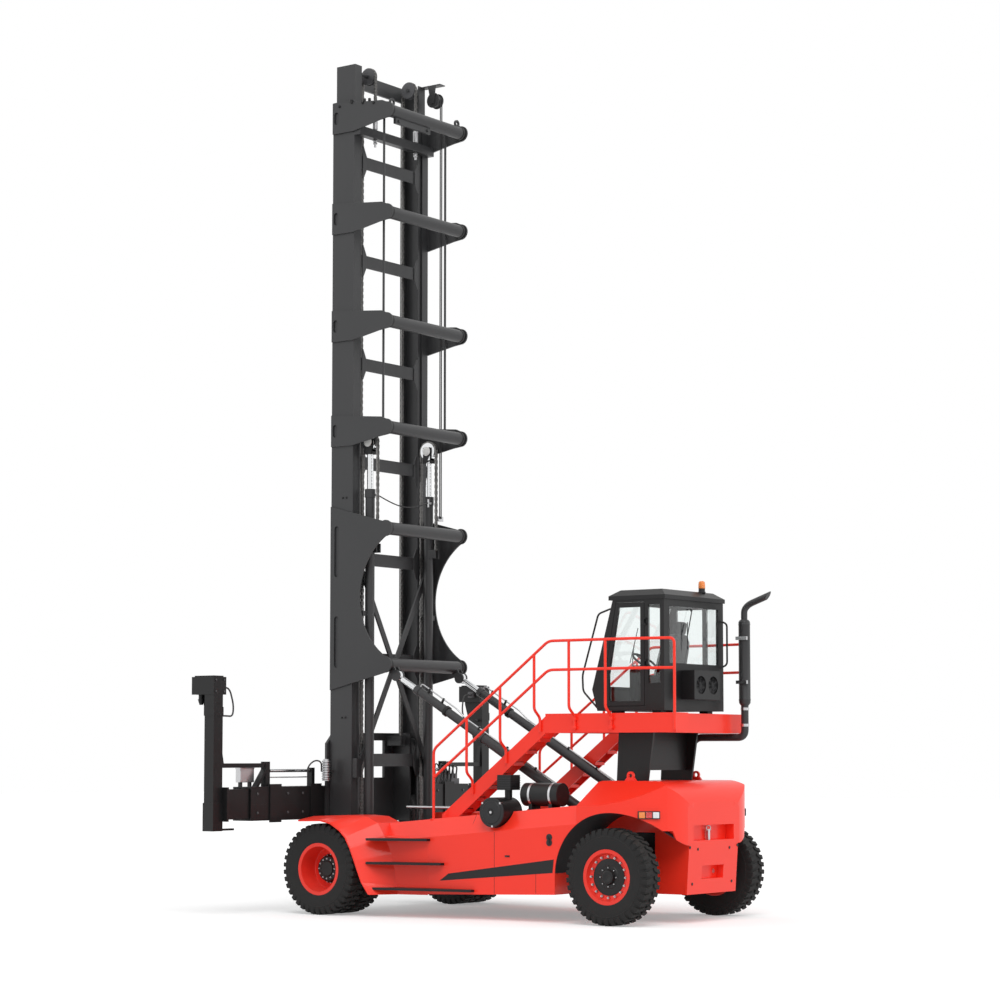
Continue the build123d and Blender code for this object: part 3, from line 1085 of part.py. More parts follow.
def hinge_pins():
    """Two door hinge pins, each held at both ends by a tab on the door pillar."""
    pieces = []
    for z in HINGE_Z:
        pieces.append(rod((HINGE_X, HINGE_Y, z - 50), (HINGE_X, HINGE_Y, z + 50), HINGE_PIN_RADIUS))
        for low, high in ((-50, -32), (32, 50)):
            tab_x, span = DOOR_HINGE_X - 40, (z + low, z + high)
            pieces.append(block((tab_x, DOOR_HINGE_X - DOOR_GAP), (CAB_HALF - 3, HINGE_Y + HINGE_PIN_RADIUS),
                                span))
            pieces.append(block((tab_x, HINGE_X + HINGE_PIN_RADIUS),
                                (HINGE_Y - HINGE_PIN_RADIUS, HINGE_Y + HINGE_PIN_RADIUS), span))
    return pieces


def hinge_knuckles():
    """Rings on the door that turn round the hinge pins."""
    pieces = []
    for z in HINGE_Z:
        ring = rod((HINGE_X, HINGE_Y, z - 31), (HINGE_X, HINGE_Y, z + 31), HINGE_PIN_RADIUS + 7)
        leaf = block((HINGE_X + 2, HINGE_X + 50), (CAB_HALF - 2, HINGE_Y), (z - 31, z + 31))
        bore = rod((HINGE_X, HINGE_Y, z - 32), (HINGE_X, HINGE_Y, z + 32), HINGE_PIN_RADIUS + RUNNING_GAP)
        pieces.append(join([ring, leaf]) - bore)
    return pieces


def cab_frame():
    """Upper frame of the cab: pillars and rails left standing between the windows and the doorway."""
    walls = side_plate(cab_outline(0), (-CAB_HALF, CAB_HALF))
    inside = side_plate(cab_outline(CAB_WALL), (-CAB_HALF + CAB_WALL, CAB_HALF - CAB_WALL))
    left = (CAB_HALF - CAB_WALL - 1, CAB_HALF + 1)
    right = (-CAB_HALF - 1, -CAB_HALF + CAB_WALL + 1)
    cuts = [side_plate(door_outline(DOOR_GAP), left), block(LEFT_WINDOW[0], left, LEFT_WINDOW[1]),
            block((CAB_REAR_X - 1, CAB_REAR_X + CAB_WALL + 1), *REAR_WINDOW),
            front_slab(*FRONT_WINDOW, -20, CAB_WALL + 20)]
    cuts += [block(x, right, z) for x, z in RIGHT_WINDOWS]
    return join([walls - inside - join(cuts), *hinge_pins()])


def cab_glass():
    """Fixed panes, each set in the middle of its wall's thickness."""
    edge = 0.5
    middle = CAB_WALL / 2
    panes = []
    for (x, z), side in ((LEFT_WINDOW, 1), (RIGHT_WINDOWS[0], -1), (RIGHT_WINDOWS[1], -1)):
        y = side * (CAB_HALF - middle)
        panes.append(block((x[0] + edge, x[1] - edge), (y - GLASS / 2, y + GLASS / 2),
                           (z[0] + edge, z[1] - edge)))
    y, z = REAR_WINDOW
    panes.append(block((CAB_REAR_X + middle - GLASS / 2, CAB_REAR_X + middle + GLASS / 2),
                       (y[0] + edge, y[1] - edge), (z[0] + edge, z[1] - edge)))
    y, z = FRONT_WINDOW
    panes.append(front_slab((y[0] + edge, y[1] - edge), (z[0] + edge, z[1] - edge), middle - GLASS / 2,
                            middle + GLASS / 2))
    return join(panes)


def cab_roof():
    """Roof panel with bevelled edges, overhanging the walls a little."""
    roof = block((CAB_REAR_X - 25, CAB_ROOF_FRONT_X + 60), (-CAB_HALF - 15, CAB_HALF + 15),
                 (CAB_ROOF_Z, CAB_TOP_Z))
    top_edges = roof.edges().group_by(Axis.Z)[-1]
    return chamfer(top_edges, 90, 130)


def door_frame():
    """Cab door: a flat frame round one tall pane."""
    y = (CAB_HALF - CAB_WALL + 3, CAB_HALF)
    frame = side_plate(door_outline(0), y) - side_plate(door_outline(-DOOR_RAIL), (y[0] - 1, y[1] + 1))
    return join([frame, *hinge_knuckles()])


def door_glass():
    """Pane of the cab door."""
    middle = CAB_HALF - CAB_WALL / 2
    return side_plate(door_outline(-DOOR_RAIL - 0.5), (middle - GLASS / 2, middle + GLASS / 2))


def operator_seat():
    """Driver's seat: pedestal, cushion, backrest and headrest."""
    floor = CAB_BASE_Z + 40
    x = SEAT_X
    pieces = [block((x - 220, x + 80), (-170, 170), (floor, floor + 330)),
              block((x - 280, x + 220), (-250, 250), (floor + 325, floor + 450)),
              side_plate([(x - 280, floor + 440), (x - 160, floor + 440), (x - 290, floor + 1080),
                          (x - 390, floor + 1080)], (-240, 240)),
              side_plate([(x - 385, floor + 1070), (x - 295, floor + 1070), (x - 330, floor + 1260),
                          (x - 410, floor + 1260)], (-140, 140))]
    return join(pieces)


def steering_console():
    """Column and dashboard with the steering wheel."""
    floor = CAB_BASE_Z + 40
    x = CONSOLE_X
    column = side_plate([(x, floor), (x, floor + 560), (x - 60, floor + 640), (x - 120, floor + 600),
                         (x - 70, floor)], (-150, 150))
    hub = Pos(x - 160, 0, floor + 700) * Rot(0, -35, 0)
    wheel = hub * Torus(190, 16)
    stem = hub * Pos(0, 0, -75) * Cylinder(25, 150)
    spokes = hub * Box(370, 40, 12)
    return join([column, wheel, stem, spokes])


def condenser_box():
    """Cooling unit on the back of the cab with two round fan mouths."""
    x = (CAB_REAR_X - 220, CAB_REAR_X)
    box = block(x, (-360, 360), (3200, 3620))
    for y in (-170, 170):
        box -= rod((x[0] - 1, y, 3410), (x[0] + 40, y, 3410), 135)
        box += rod((x[0] + 12, y, 3410), (x[0] + 41, y, 3410), 45)
    return box


def exhaust_stack():
    """Upright silencer behind the cab, with its elbow below and the pipe raked back above."""
    x, y = EXHAUST
    silencer = rod((x, y, 3140), (x, y, 4400), SILENCER_RADIUS)
    tail = pipe([(x, y, 4390), (x, y, 4540), (x - 70, y, 4620), (EXHAUST_TIP_X - 200, y, 4800)],
                EXHAUST_RADIUS)
    tail -= block((EXHAUST_TIP_X - 500, EXHAUST_TIP_X), (y - 200, y + 200), (4000, 6000))
    lower = pipe([(x, y, 3150), (x, y, 2740), (x + 90, y, 2650), (x + 440, y, 2650), (x + 600, -760, 2450),
                  (x + 600, -760, HOOD_TOP_Z)], EXHAUST_RADIUS)
    return join([silencer, tail, lower])


def air_cleaner():
    """Air cleaner drum lying across the left body, its intake stub and square pre-cleaner."""
    x, z = AIR_CLEANER
    drum = disc(x, z, AIR_CLEANER_RADIUS, AIR_CLEANER_Y)
    cover = disc(x, z, AIR_CLEANER_RADIUS - 60, (AIR_CLEANER_Y[1] - 1, AIR_CLEANER_Y[1] + 25))
    y = AIR_CLEANER_Y[0] + 130
    stub = rod((x - 60, y, z), (x - 60, y, 1900), 55)
    head = block((x - 180, x + 60), (y - 120, y + 120), (1890, 2110))
    span = (AIR_CLEANER_Y[0] + 40, BODY_HALF_WIDTH - 80)
    saddle = block((x - 60, x + 60), span, (z - 2 * AIR_CLEANER_RADIUS, z - AIR_CLEANER_RADIUS + 20))
    saddle &= disc(x, z, AIR_CLEANER_RADIUS + AIR_CLEANER_GAP - 0.3, span)
    return join([drum, cover, stub, head, saddle])


def oil_tank():
    """Round-ended tank on the left body behind the air cleaner."""
    x = (BODY_REAR_X + 500, BODY_REAR_X + 1140)
    y = BODY_HALF_WIDTH - 395
    radius = 170
    seat = body_top(x[0]) + 10
    drum = rod((x[0], y, seat + radius), (x[1], y, seat + radius), radius)
    feet = []
    for foot in (x[0] + 150, x[0] + 500):
        near, far = foot - 30, foot + 30
        feet.append(side_plate([(near, body_top(near) + 0.3), (near, seat + 60), (far, seat + 60),
                                (far, body_top(far) + 0.3)], (y - 110, y + 110)))
    return join([drum, *feet])


def lamps():
    """Tail lamp clusters on the flanks and the beacon on the cab roof."""
    place = Pos(TAIL_X + 312, TAIL_HALF + 262, 1555) * Rot(0, 0, LAMP_TURN)
    cluster = place * Box(310, 80, 105) - rear_form()
    clusters = [cluster, other_side(cluster)]
    x, y = CAB_REAR_X + 120, -420
    beacon = join([rod((x, y, CAB_TOP_Z), (x, y, CAB_TOP_Z + 60), 45),
                   rod((x, y, CAB_TOP_Z + 59), (x, y, CAB_TOP_Z + 170), 52)])
    return join([*clusters, beacon])


def main():
    """Draw every piece, move it to the machine's own origin and write it out."""
    knuckle_left = knuckle()
    front_tyre, front_rim = at_wheel(drive_tyres(), 0), at_wheel(drive_rim(), 0)
    rear_tyre = at_wheel(tyre(STEER_WHEEL_Y, True), STEER_AXLE_X)
    rear_rim = at_wheel(steer_rim(), STEER_AXLE_X)
    pieces = {
        "chassis_frame": chassis_frame(), "side_bodies": side_bodies(), "front_fenders": front_fenders(),
        "access_steps": access_steps(), "deck_plate": deck_plate(), "engine_block": engine_block(),
        "rear_hood": rear_hood(), "rear_counterweight": rear_counterweight(), "lifting_eyes": lifting_eyes(),
        "drive_axle": drive_axle(), "steer_axle": steer_axle(), "stairs": stairs(), "platform": platform(),
        "handrails": handrails(), "cab_pedestal": cab_pedestal(), "cab_base": cab_base(),
        "cab_frame": cab_frame(), "cab_glass": cab_glass(), "cab_roof": cab_roof(),
        "operator_seat": operator_seat(), "steering_console": steering_console(),
        "condenser_box": condenser_box(), "exhaust_stack": exhaust_stack(), "air_cleaner": air_cleaner(),
        "oil_tank": oil_tank(), "lamps": lamps(), "door_frame": door_frame(), "door_glass": door_glass(),
        "mast_uprights": mast_uprights(), "mast_side_plates": mast_side_plates(),
        "mast_cross_tubes": mast_cross_tubes(), "lift_barrels": lift_barrels(), "lift_rods": lift_rods(),
        "lift_chains": lift_chains(), "inner_mast": inner_mast(), "top_sheaves": top_sheaves(),
        "carriage_chains": carriage_chains(), "carriage_frame": carriage_frame(),
        "spreader_main_beam": spreader_main_beam(), "telescopic_beam_left": telescopic_beam(1),
        "telescopic_beam_right": telescopic_beam(-1), "tilt_barrels": tilt_barrels(),
        "tilt_rods": tilt_rods(),
        "knuckle_left": knuckle_left, "knuckle_right": other_side(knuckle_left),
        "tyre_front_left": front_tyre, "tyre_front_right": other_side(front_tyre),
        "rim_front_left": front_rim, "rim_front_right": other_side(front_rim),
        "tyre_rear_left": rear_tyre, "tyre_rear_right": other_side(rear_tyre),
        "rim_rear_left": rear_rim, "rim_rear_right": other_side(rear_rim),
    }
    os.makedirs("parts", exist_ok=True)
    for name, piece in pieces.items():
        export_step(Pos(DRIVE_AXLE_X, 0, 0) * piece, f"parts/{name}.step")


if __name__ == "__main__":
    main()
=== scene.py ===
# %% [markdown]
# # An empty container handler
#
# This lesson dresses a packed machine: a heavy lift truck whose tall mast carries a spreader for empty
# containers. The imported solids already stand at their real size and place, so nothing here is moved to
# fit. We light the machine, give each solid a finish, and then add what solids do not show well: round
# tyres, chain links, bolts, hoses, pads and trim. Every new piece is worked out as whole arrays of
# points with numpy.

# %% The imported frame
import bmesh
import bpy
import numpy as np
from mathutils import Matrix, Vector


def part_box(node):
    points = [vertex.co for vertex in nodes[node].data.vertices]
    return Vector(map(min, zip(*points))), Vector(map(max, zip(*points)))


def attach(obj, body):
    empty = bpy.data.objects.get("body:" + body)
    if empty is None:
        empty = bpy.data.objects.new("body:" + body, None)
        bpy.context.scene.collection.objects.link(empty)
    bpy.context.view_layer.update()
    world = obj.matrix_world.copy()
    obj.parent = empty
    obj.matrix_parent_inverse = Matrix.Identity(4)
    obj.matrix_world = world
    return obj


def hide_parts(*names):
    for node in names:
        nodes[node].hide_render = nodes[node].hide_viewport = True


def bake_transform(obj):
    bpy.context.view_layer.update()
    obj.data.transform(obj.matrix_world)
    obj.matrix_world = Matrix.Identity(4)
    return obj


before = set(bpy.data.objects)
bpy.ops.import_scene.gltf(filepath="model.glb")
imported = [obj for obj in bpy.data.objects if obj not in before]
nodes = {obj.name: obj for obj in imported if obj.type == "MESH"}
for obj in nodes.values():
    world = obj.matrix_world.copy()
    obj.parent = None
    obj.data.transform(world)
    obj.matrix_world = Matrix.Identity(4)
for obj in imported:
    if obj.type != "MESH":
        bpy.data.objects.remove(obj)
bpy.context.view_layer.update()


def node_middle(name):
    """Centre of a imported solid's box."""
    low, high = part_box(name)
    return (np.array(low) + np.array(high)) / 2


drive_axle_x, _, wheel_radius = node_middle("tyre_front_left")
print("solids:", len(nodes), "drive axle at x =", round(float(drive_axle_x), 3))

# %% [markdown]
# ## Camera
# The photograph was taken from the left and behind, from about head height, with a long lens, and the
# mast's edges stay nearly upright in it. A small lens shift lowers the horizon in the frame and a
# slight upward pitch does the rest, so that the camera still frames the whole machine when it is moved
# round it.

# %% Camera
camera_from_axle = np.array([-24.551, 31.466, 2.418])
camera_turn = np.radians(35.733)
camera_pitch = np.radians(4.396)
focal_share = 2.52084
axis_below_middle = 0.06

camera_data = bpy.data.cameras.new("photo_camera")
camera_data.sensor_width = 36
camera_data.lens = focal_share * camera_data.sensor_width
camera_data.shift_y = axis_below_middle
camera_data.clip_end = 400
camera = bpy.data.objects.new("photo_camera", camera_data)
camera.location = camera_from_axle + [drive_axle_x, 0, 0]
look = Vector((np.sin(camera_turn) * np.cos(camera_pitch), -np.cos(camera_turn) * np.cos(camera_pitch),
               np.sin(camera_pitch)))
camera.rotation_euler = look.to_track_quat("-Z", "Y").to_euler()
bpy.context.scene.collection.objects.link(camera)
bpy.context.scene.camera = camera
bpy.context.scene.view_settings.view_transform = "Standard"
print("lens", round(camera_data.lens, 1), "mm")

# %% [markdown]
# ## Studio
# A white sweep and soft light suit a catalogue picture. The world is white to the camera and to mirrors
# and glass, but lights the machine at a plain level. The floor is a pale matt sheet; a little glow that
# only those rays see lifts it to white, so the machine's shadow stays on it.

# %% Studio: world, floor and lamps
def node_at(tree, kind, **values):
    """New node with some of its properties and inputs set; numbers name input sockets by position."""
    node = tree.nodes.new(kind)
    for key, value in values.items():
        if key.startswith("in_"):
            node.inputs[int(key[3:])].default_value = value
        else:
            setattr(node, key, value)
    return node


def seen_rays(tree):
    """1 for rays from the camera, a mirror or a pane of glass, else 0."""
    path = node_at(tree, "ShaderNodeLightPath")
    some = node_at(tree, "ShaderNodeMath", operation="MAXIMUM")
    any_ray = node_at(tree, "ShaderNodeMath", operation="MAXIMUM")
    tree.links.new(path.outputs["Is Camera Ray"], some.inputs[0])
    tree.links.new(path.outputs["Is Glossy Ray"], some.inputs[1])
    tree.links.new(some.outputs[0], any_ray.inputs[0])
    tree.links.new(path.outputs["Is Transmission Ray"], any_ray.inputs[1])
    return any_ray.outputs[0]


ambient, seen_white = 0.62, 1.0
world = bpy.data.worlds.new("white_studio")
world.use_nodes = True
tree = world.node_tree
strength = node_at(tree, "ShaderNodeMapRange", in_3=ambient, in_4=seen_white)
tree.links.new(seen_rays(tree), strength.inputs[0])
tree.links.new(strength.outputs[0], tree.nodes["Background"].inputs["Strength"])
tree.nodes["Background"].inputs["Color"].default_value = (1, 1, 1, 1)
bpy.context.scene.world = world

floor_half, floor_grey, floor_glow = 90, 0.8, 0.3
floor_ways = ((-1, -1), (1, -1), (1, 1), (-1, 1))
floor_mesh = bpy.data.meshes.new("studio_floor")
floor_mesh.from_pydata([(x * floor_half, y * floor_half, 0) for x, y in floor_ways], [], [(0, 1, 2, 3)])
floor = bpy.data.objects.new("studio_floor", floor_mesh)
bpy.context.scene.collection.objects.link(floor)
floor_finish = bpy.data.materials.new("studio_floor")
floor_finish.use_nodes = True
tree = floor_finish.node_tree
tree.nodes.clear()
matt = node_at(tree, "ShaderNodeBsdfDiffuse", in_0=(floor_grey, floor_grey, floor_grey, 1))
glow = node_at(tree, "ShaderNodeEmission", in_0=(1, 1, 1, 1))
lift = node_at(tree, "ShaderNodeMath", operation="MULTIPLY", in_1=floor_glow)
summed = node_at(tree, "ShaderNodeAddShader")
out = node_at(tree, "ShaderNodeOutputMaterial")
tree.links.new(seen_rays(tree), lift.inputs[0])
tree.links.new(lift.outputs[0], glow.inputs["Strength"])
tree.links.new(matt.outputs[0], summed.inputs[0])
tree.links.new(glow.outputs[0], summed.inputs[1])
tree.links.new(summed.outputs[0], out.inputs[0])
floor_mesh.materials.append(floor_finish)

# Each row: name, direction the light comes from, strength, softness in degrees
lamp_rows = (("key_sun", (-0.45, 0.55, 0.85), 1.25, 35), ("fill_sun", (-0.9, -0.35, 0.5), 0.5, 50),
             ("front_sun", (0.8, 0.5, 0.45), 0.3, 50))
for name, towards, power, softness in lamp_rows:
    lamp = bpy.data.lights.new(name, "SUN")
    lamp.energy = power
    lamp.angle = np.radians(softness)
    lamp_object = bpy.data.objects.new(name, lamp)
    lamp_object.rotation_euler = Vector(towards).to_track_quat("Z", "Y").to_euler()
    bpy.context.scene.collection.objects.link(lamp_object)
print("studio: world, floor and", len(lamp_rows), "lamps")

# %% [markdown]
# ## Shared effects
# Paint, plastic and rubber share a few habits: their tone drifts over a metre or so, dust lies on what
# faces up and near the ground, a fine grain breaks the gloss, and edges are painted paler, partly as
# rubbed wear and partly as a painted highlight. Each effect is one node group with named sockets, placed
# in each finish with its own values. The groups put out colours, masks and heights only; the shader
# itself stays in the material, where the export can read it.

# %% Node groups
def new_group(name, inputs, outputs):
    """Empty shader group. Inputs and outputs are (name, kind) rows, where kind is Float or Color."""
    group = bpy.data.node_groups.new(name, "ShaderNodeTree")
    for label, kind in inputs:
        group.interface.new_socket(label, in_out="INPUT", socket_type="NodeSocket" + kind)
    for label, kind in outputs:
        group.interface.new_socket(label, in_out="OUTPUT", socket_type="NodeSocket" + kind)
    return group, node_at(group, "NodeGroupInput"), node_at(group, "NodeGroupOutput")


def chain_math(tree, operation, first, second):
    """Math node on two sockets or numbers; gives its output socket."""
    node = node_at(tree, "ShaderNodeMath", operation=operation)
    for place, value in enumerate((first, second)):
        if isinstance(value, (int, float)):
            node.inputs[place].default_value = value
        else:
            tree.links.new(value, node.inputs[place])
    return node.outputs[0]


def noise(tree, scale, detail=3.0):
    """Noise between 0 and 1 on Object coordinates; scale is a socket or a number of lumps per metre."""
    place = node_at(tree, "ShaderNodeTexCoord")
    texture = node_at(tree, "ShaderNodeTexNoise")
    texture.inputs["Detail"].default_value = detail
    tree.links.new(place.outputs["Object"], texture.inputs["Vector"])
    if isinstance(scale, (int, float)):
        texture.inputs["Scale"].default_value = scale
    else:
        tree.links.new(scale, texture.inputs["Scale"])
    return texture.outputs["Fac"]


def mix_colour(tree, factor, first, second):
    """Colour mix of two colour sockets by a mask socket."""
    node = node_at(tree, "ShaderNodeMix", data_type="RGBA")
    tree.links.new(factor, node.inputs["Factor"])
    tree.links.new(first, node.inputs[6])
    tree.links.new(second, node.inputs[7])
    return node.outputs[2]


def make_tone_and_dust():
    """Colour x (1 + Tone x drift), then dust on faces that look up, and more of it near the floor."""
    drift_lumps, patch_lumps = 1.3, 7.0
    low_height, low_share = 2.0, 0.35
    group, given, result = new_group(
        "tone_and_dust",
        (("Colour", "Color"), ("Dust Colour", "Color"), ("Tone", "Float"), ("Dust", "Float")),
        (("Colour", "Color"), ("Mask", "Float")))
    drift = chain_math(group, "SUBTRACT", noise(group, drift_lumps, 5.0), 0.5)
    factor = chain_math(group, "ADD", chain_math(group, "MULTIPLY", drift, given.outputs["Tone"]), 1.0)
    toned = node_at(group, "ShaderNodeVectorMath", operation="SCALE")
    group.links.new(given.outputs["Colour"], toned.inputs[0])
    group.links.new(factor, toned.inputs["Scale"])
    normal = node_at(group, "ShaderNodeSeparateXYZ")
    group.links.new(node_at(group, "ShaderNodeNewGeometry").outputs["Normal"], normal.inputs[0])
    upward = node_at(group, "ShaderNodeMapRange", in_1=0.3, in_2=1.0)
    group.links.new(normal.outputs["Z"], upward.inputs[0])
    height = node_at(group, "ShaderNodeSeparateXYZ")
    group.links.new(node_at(group, "ShaderNodeTexCoord").outputs["Object"], height.inputs[0])
    low = node_at(group, "ShaderNodeMapRange", in_1=low_height, in_2=0.0, in_3=0.0, in_4=low_share)
    group.links.new(height.outputs["Z"], low.inputs[0])
    settled = chain_math(group, "ADD", upward.outputs[0], low.outputs[0])
    patchy = chain_math(group, "MULTIPLY", settled, noise(group, patch_lumps, 6.0))
    mask = chain_math(group, "MULTIPLY", patchy, given.outputs["Dust"])
    group.links.new(mix_colour(group, mask, toned.outputs[0], given.outputs["Dust Colour"]),
                    result.inputs["Colour"])
    group.links.new(mask, result.inputs["Mask"])
    return group


def make_fine_grain():
    """Noise at Lumps per metre: roughness = Roughness + Spread x (noise - 1/2); the noise is the height."""
    group, given, result = new_group(
        "fine_grain", (("Lumps", "Float"), ("Roughness", "Float"), ("Spread", "Float")),
        (("Roughness", "Float"), ("Height", "Float")))
    grain = noise(group, given.outputs["Lumps"], 2.0)
    centred = chain_math(group, "SUBTRACT", grain, 0.5)
    spread = chain_math(group, "MULTIPLY", centred, given.outputs["Spread"])
    group.links.new(chain_math(group, "ADD", spread, given.outputs["Roughness"]), result.inputs["Roughness"])
    group.links.new(grain, result.inputs["Height"])
    return group


def make_edge_wear_and_highlight():
    """A rounded normal leaves the true one near an edge: there Colour goes to the paler edge colour, broken
    by noise.

    The paler edge paints rubbed wear and a highlight together.
    """
    edge_wear_and_highlight_lumps = 23.0
    group, given, result = new_group(
        "edge_wear_and_highlight", (("Colour", "Color"), ("Bare", "Color"), ("Width", "Float"), ("Amount", "Float")),
        (("Colour", "Color"), ("Mask", "Float")))
    rounded = node_at(group, "ShaderNodeBevel", samples=4)
    group.links.new(given.outputs["Width"], rounded.inputs["Radius"])
    agree = node_at(group, "ShaderNodeVectorMath", operation="DOT_PRODUCT")
    group.links.new(rounded.outputs[0], agree.inputs[0])
    group.links.new(node_at(group, "ShaderNodeNewGeometry").outputs["Normal"], agree.inputs[1])
    edge = node_at(group, "ShaderNodeMapRange", in_1=0.98, in_2=0.75)
    group.links.new(agree.outputs["Value"], edge.inputs[0])
    broken = node_at(group, "ShaderNodeMapRange", in_1=0.42, in_2=0.62)
    group.links.new(noise(group, edge_wear_and_highlight_lumps, 6.0), broken.inputs[0])
    mask = chain_math(group, "MULTIPLY", edge.outputs[0], broken.outputs[0])
    mask = chain_math(group, "MULTIPLY", mask, given.outputs["Amount"])
    group.links.new(mix_colour(group, mask, given.outputs["Colour"], given.outputs["Bare"]),
                    result.inputs["Colour"])
    group.links.new(mask, result.inputs["Mask"])
    return group


tone_and_dust = make_tone_and_dust()
fine_grain = make_fine_grain()
edge_wear_and_highlight = make_edge_wear_and_highlight()
print("node groups:", [group.name for group in bpy.data.node_groups])

# %% [markdown]
# ## Finishes
# The machine has glossy red panels, a satin charcoal mast, black fittings, chrome rods and rubber. Most
# of them are the same recipe with other values: a colour that drifts and gathers dust, edges painted
# paler as rubbed wear and a painted highlight together, and a grain that feeds both roughness and bump.
# So one function mixes a finish from a row of values.

# %% Painted, rubber and metal finishes
road_dust = (0.33, 0.29, 0.24)
# Width of the paler edges, which paint rubbed wear and a highlight together
edge_wear_and_highlight_width, coat_roughness = 0.008, 0.08


def place_group(tree, group, **values):
    """Group node with its inputs set by name; a value may be a number, a colour or a socket to link."""
    node = node_at(tree, "ShaderNodeGroup", node_tree=group)
    for label, value in values.items():
        socket = node.inputs[label.replace("_", " ").title()]
        if isinstance(value, bpy.types.NodeSocket):
            tree.links.new(value, socket)
        else:
            socket.default_value = (*value, 1) if isinstance(value, tuple) else value
    return node


def new_finish(name, plain_values):
    """New material with plain values on its shader; gives the material, its node tree and the shader."""
    material = bpy.data.materials.new(name)
    material.use_nodes = True
    shader = material.node_tree.nodes["Principled BSDF"]
    for label, value in plain_values.items():
        shader.inputs[label].default_value = value
    return material, material.node_tree, shader


def bump_from(tree, shader, height, strength, depth=0.002):
    """Bump of a depth in metres, from a height socket into the shader's normal."""
    relief = node_at(tree, "ShaderNodeBump")
    relief.inputs["Strength"].default_value = strength
    relief.inputs["Distance"].default_value = depth
    tree.links.new(height, relief.inputs["Height"])
    tree.links.new(relief.outputs[0], shader.inputs["Normal"])


def finish_of(name, colour, roughness, metallic=0.0, coat=0.0, tone=0.1, dust=0.1, rub=0.2,
              bare=(0.3, 0.3, 0.3), lumps=400.0, spread=0.1, bump=0.05, gloss=0.5):
    """Weathered finish: colour through tone_and_dust and the edge group, roughness and bump from fine_grain.

    The edge group's paler edges paint rubbed wear and a highlight together.
    """
    material, tree, shader = new_finish(name, {"Metallic": metallic, "Specular IOR Level": gloss,
                                               "Coat Weight": coat, "Coat Roughness": coat_roughness})
    toned = place_group(tree, tone_and_dust, colour=colour, dust_colour=road_dust, tone=tone, dust=dust)
    worn_and_highlighted = place_group(tree, edge_wear_and_highlight, colour=toned.outputs["Colour"], bare=bare, width=edge_wear_and_highlight_width,
                         amount=rub)
    grain = place_group(tree, fine_grain, lumps=lumps, roughness=roughness, spread=spread)
    dulled = chain_math(tree, "ADD", grain.outputs["Roughness"],
                        chain_math(tree, "MULTIPLY", toned.outputs["Mask"], 0.5))
    tree.links.new(worn_and_highlighted.outputs["Colour"], shader.inputs["Base Color"])
    tree.links.new(dulled, shader.inputs["Roughness"])
    bump_from(tree, shader, grain.outputs["Height"], bump)
    return material


# The paler edge colours and their amounts below paint rubbed wear and a highlight together
red_paint = finish_of("red_paint", (0.955, 0.036, 0.017), 0.34, coat=0.18, tone=0.06, dust=0.02, rub=0.10,
                      bare=(0.95, 0.17, 0.11), lumps=160, spread=0.08, bump=0.04, gloss=0.28)
rim_paint = finish_of("rim_paint", (0.84, 0.032, 0.018), 0.38, coat=0.15, tone=0.12, dust=0.12, rub=0.15,
                      bare=(0.85, 0.2, 0.14), lumps=160, bump=0.05, gloss=0.3)
charcoal_paint = finish_of("charcoal_paint", (0.031, 0.0315, 0.033), 0.44, coat=0.08, tone=0.2, dust=0.03,
                           rub=0.25, bare=(0.14, 0.14, 0.15), lumps=220, bump=0.06, gloss=0.38)
black_paint = finish_of("black_paint", (0.0075, 0.0075, 0.008), 0.42, coat=0.05, tone=0.2, dust=0.03,
                        rub=0.25, bare=(0.08, 0.08, 0.085), lumps=260, bump=0.06, gloss=0.3)
cast_metal = finish_of("cast_metal", (0.10, 0.10, 0.105), 0.5, metallic=0.6, tone=0.2, dust=0.1, rub=0.3,
                       lumps=700, spread=0.2, bump=0.25)
chain_steel = finish_of("chain_steel", (0.20, 0.195, 0.19), 0.38, metallic=0.9, tone=0.3, dust=0.08, rub=0.3,
                        bare=(0.5, 0.5, 0.5), lumps=90, spread=0.25, bump=0.05)
chrome = finish_of("chrome", (0.78, 0.79, 0.80), 0.12, metallic=1.0, tone=0.03, dust=0.03, rub=0.0, lumps=60,
                   spread=0.06, bump=0.01)
zinc = finish_of("zinc_plate", (0.55, 0.55, 0.56), 0.3, metallic=1.0, tone=0.15, dust=0.08, rub=0.0,
                 lumps=300, spread=0.15, bump=0.05)
tyre_rubber = finish_of("tyre_rubber", (0.011, 0.011, 0.0115), 0.74, tone=0.25, dust=0.09, rub=0.2,
                        gloss=0.3, bare=(0.06, 0.06, 0.06), lumps=900, spread=0.15, bump=0.25)
hose_rubber = finish_of("hose_rubber", (0.014, 0.014, 0.015), 0.55, tone=0.2, dust=0.05, rub=0.0,
                        lumps=900, bump=0.15)
moulded_plastic = finish_of("moulded_plastic", (0.014, 0.0145, 0.016), 0.5, tone=0.1, dust=0.03, rub=0.15,
                            gloss=0.35, bare=(0.1, 0.1, 0.1), lumps=1400, bump=0.3)
pale_mark = finish_of("pale_mark", (0.72, 0.72, 0.70), 0.45, tone=0.05, dust=0.15, rub=0.0, lumps=300)
print("finishes:", len(bpy.data.materials))

# %% [markdown]
# Glass, lamp lenses and seat cloth are different in kind. Glass lets light through, so its values are
# plain numbers on the shader. A lens is a tinted plastic with ribs moulded inside, which a wave texture
# draws as bump. Seat cloth is a weave: two crossed waves, the warp and the weft, whichever stands
# higher.

# %% Glass, lenses and cloth
def glass_of(name, tint, roughness=0.02):
    """Clear tinted pane: full transmission, with every value plain."""
    material, _, _ = new_finish(name, {"Base Color": (*tint, 1), "Roughness": roughness, "IOR": 1.45,
                                       "Transmission Weight": 1.0})
    return material


def wave_height(tree, axis, scale):
    """Bands along one axis on Object coordinates, as a height."""
    place = node_at(tree, "ShaderNodeTexCoord")
    wave = node_at(tree, "ShaderNodeTexWave", bands_direction=axis)
    wave.inputs["Scale"].default_value = scale
    tree.links.new(place.outputs["Object"], wave.inputs["Vector"])
    return wave.outputs["Fac"]


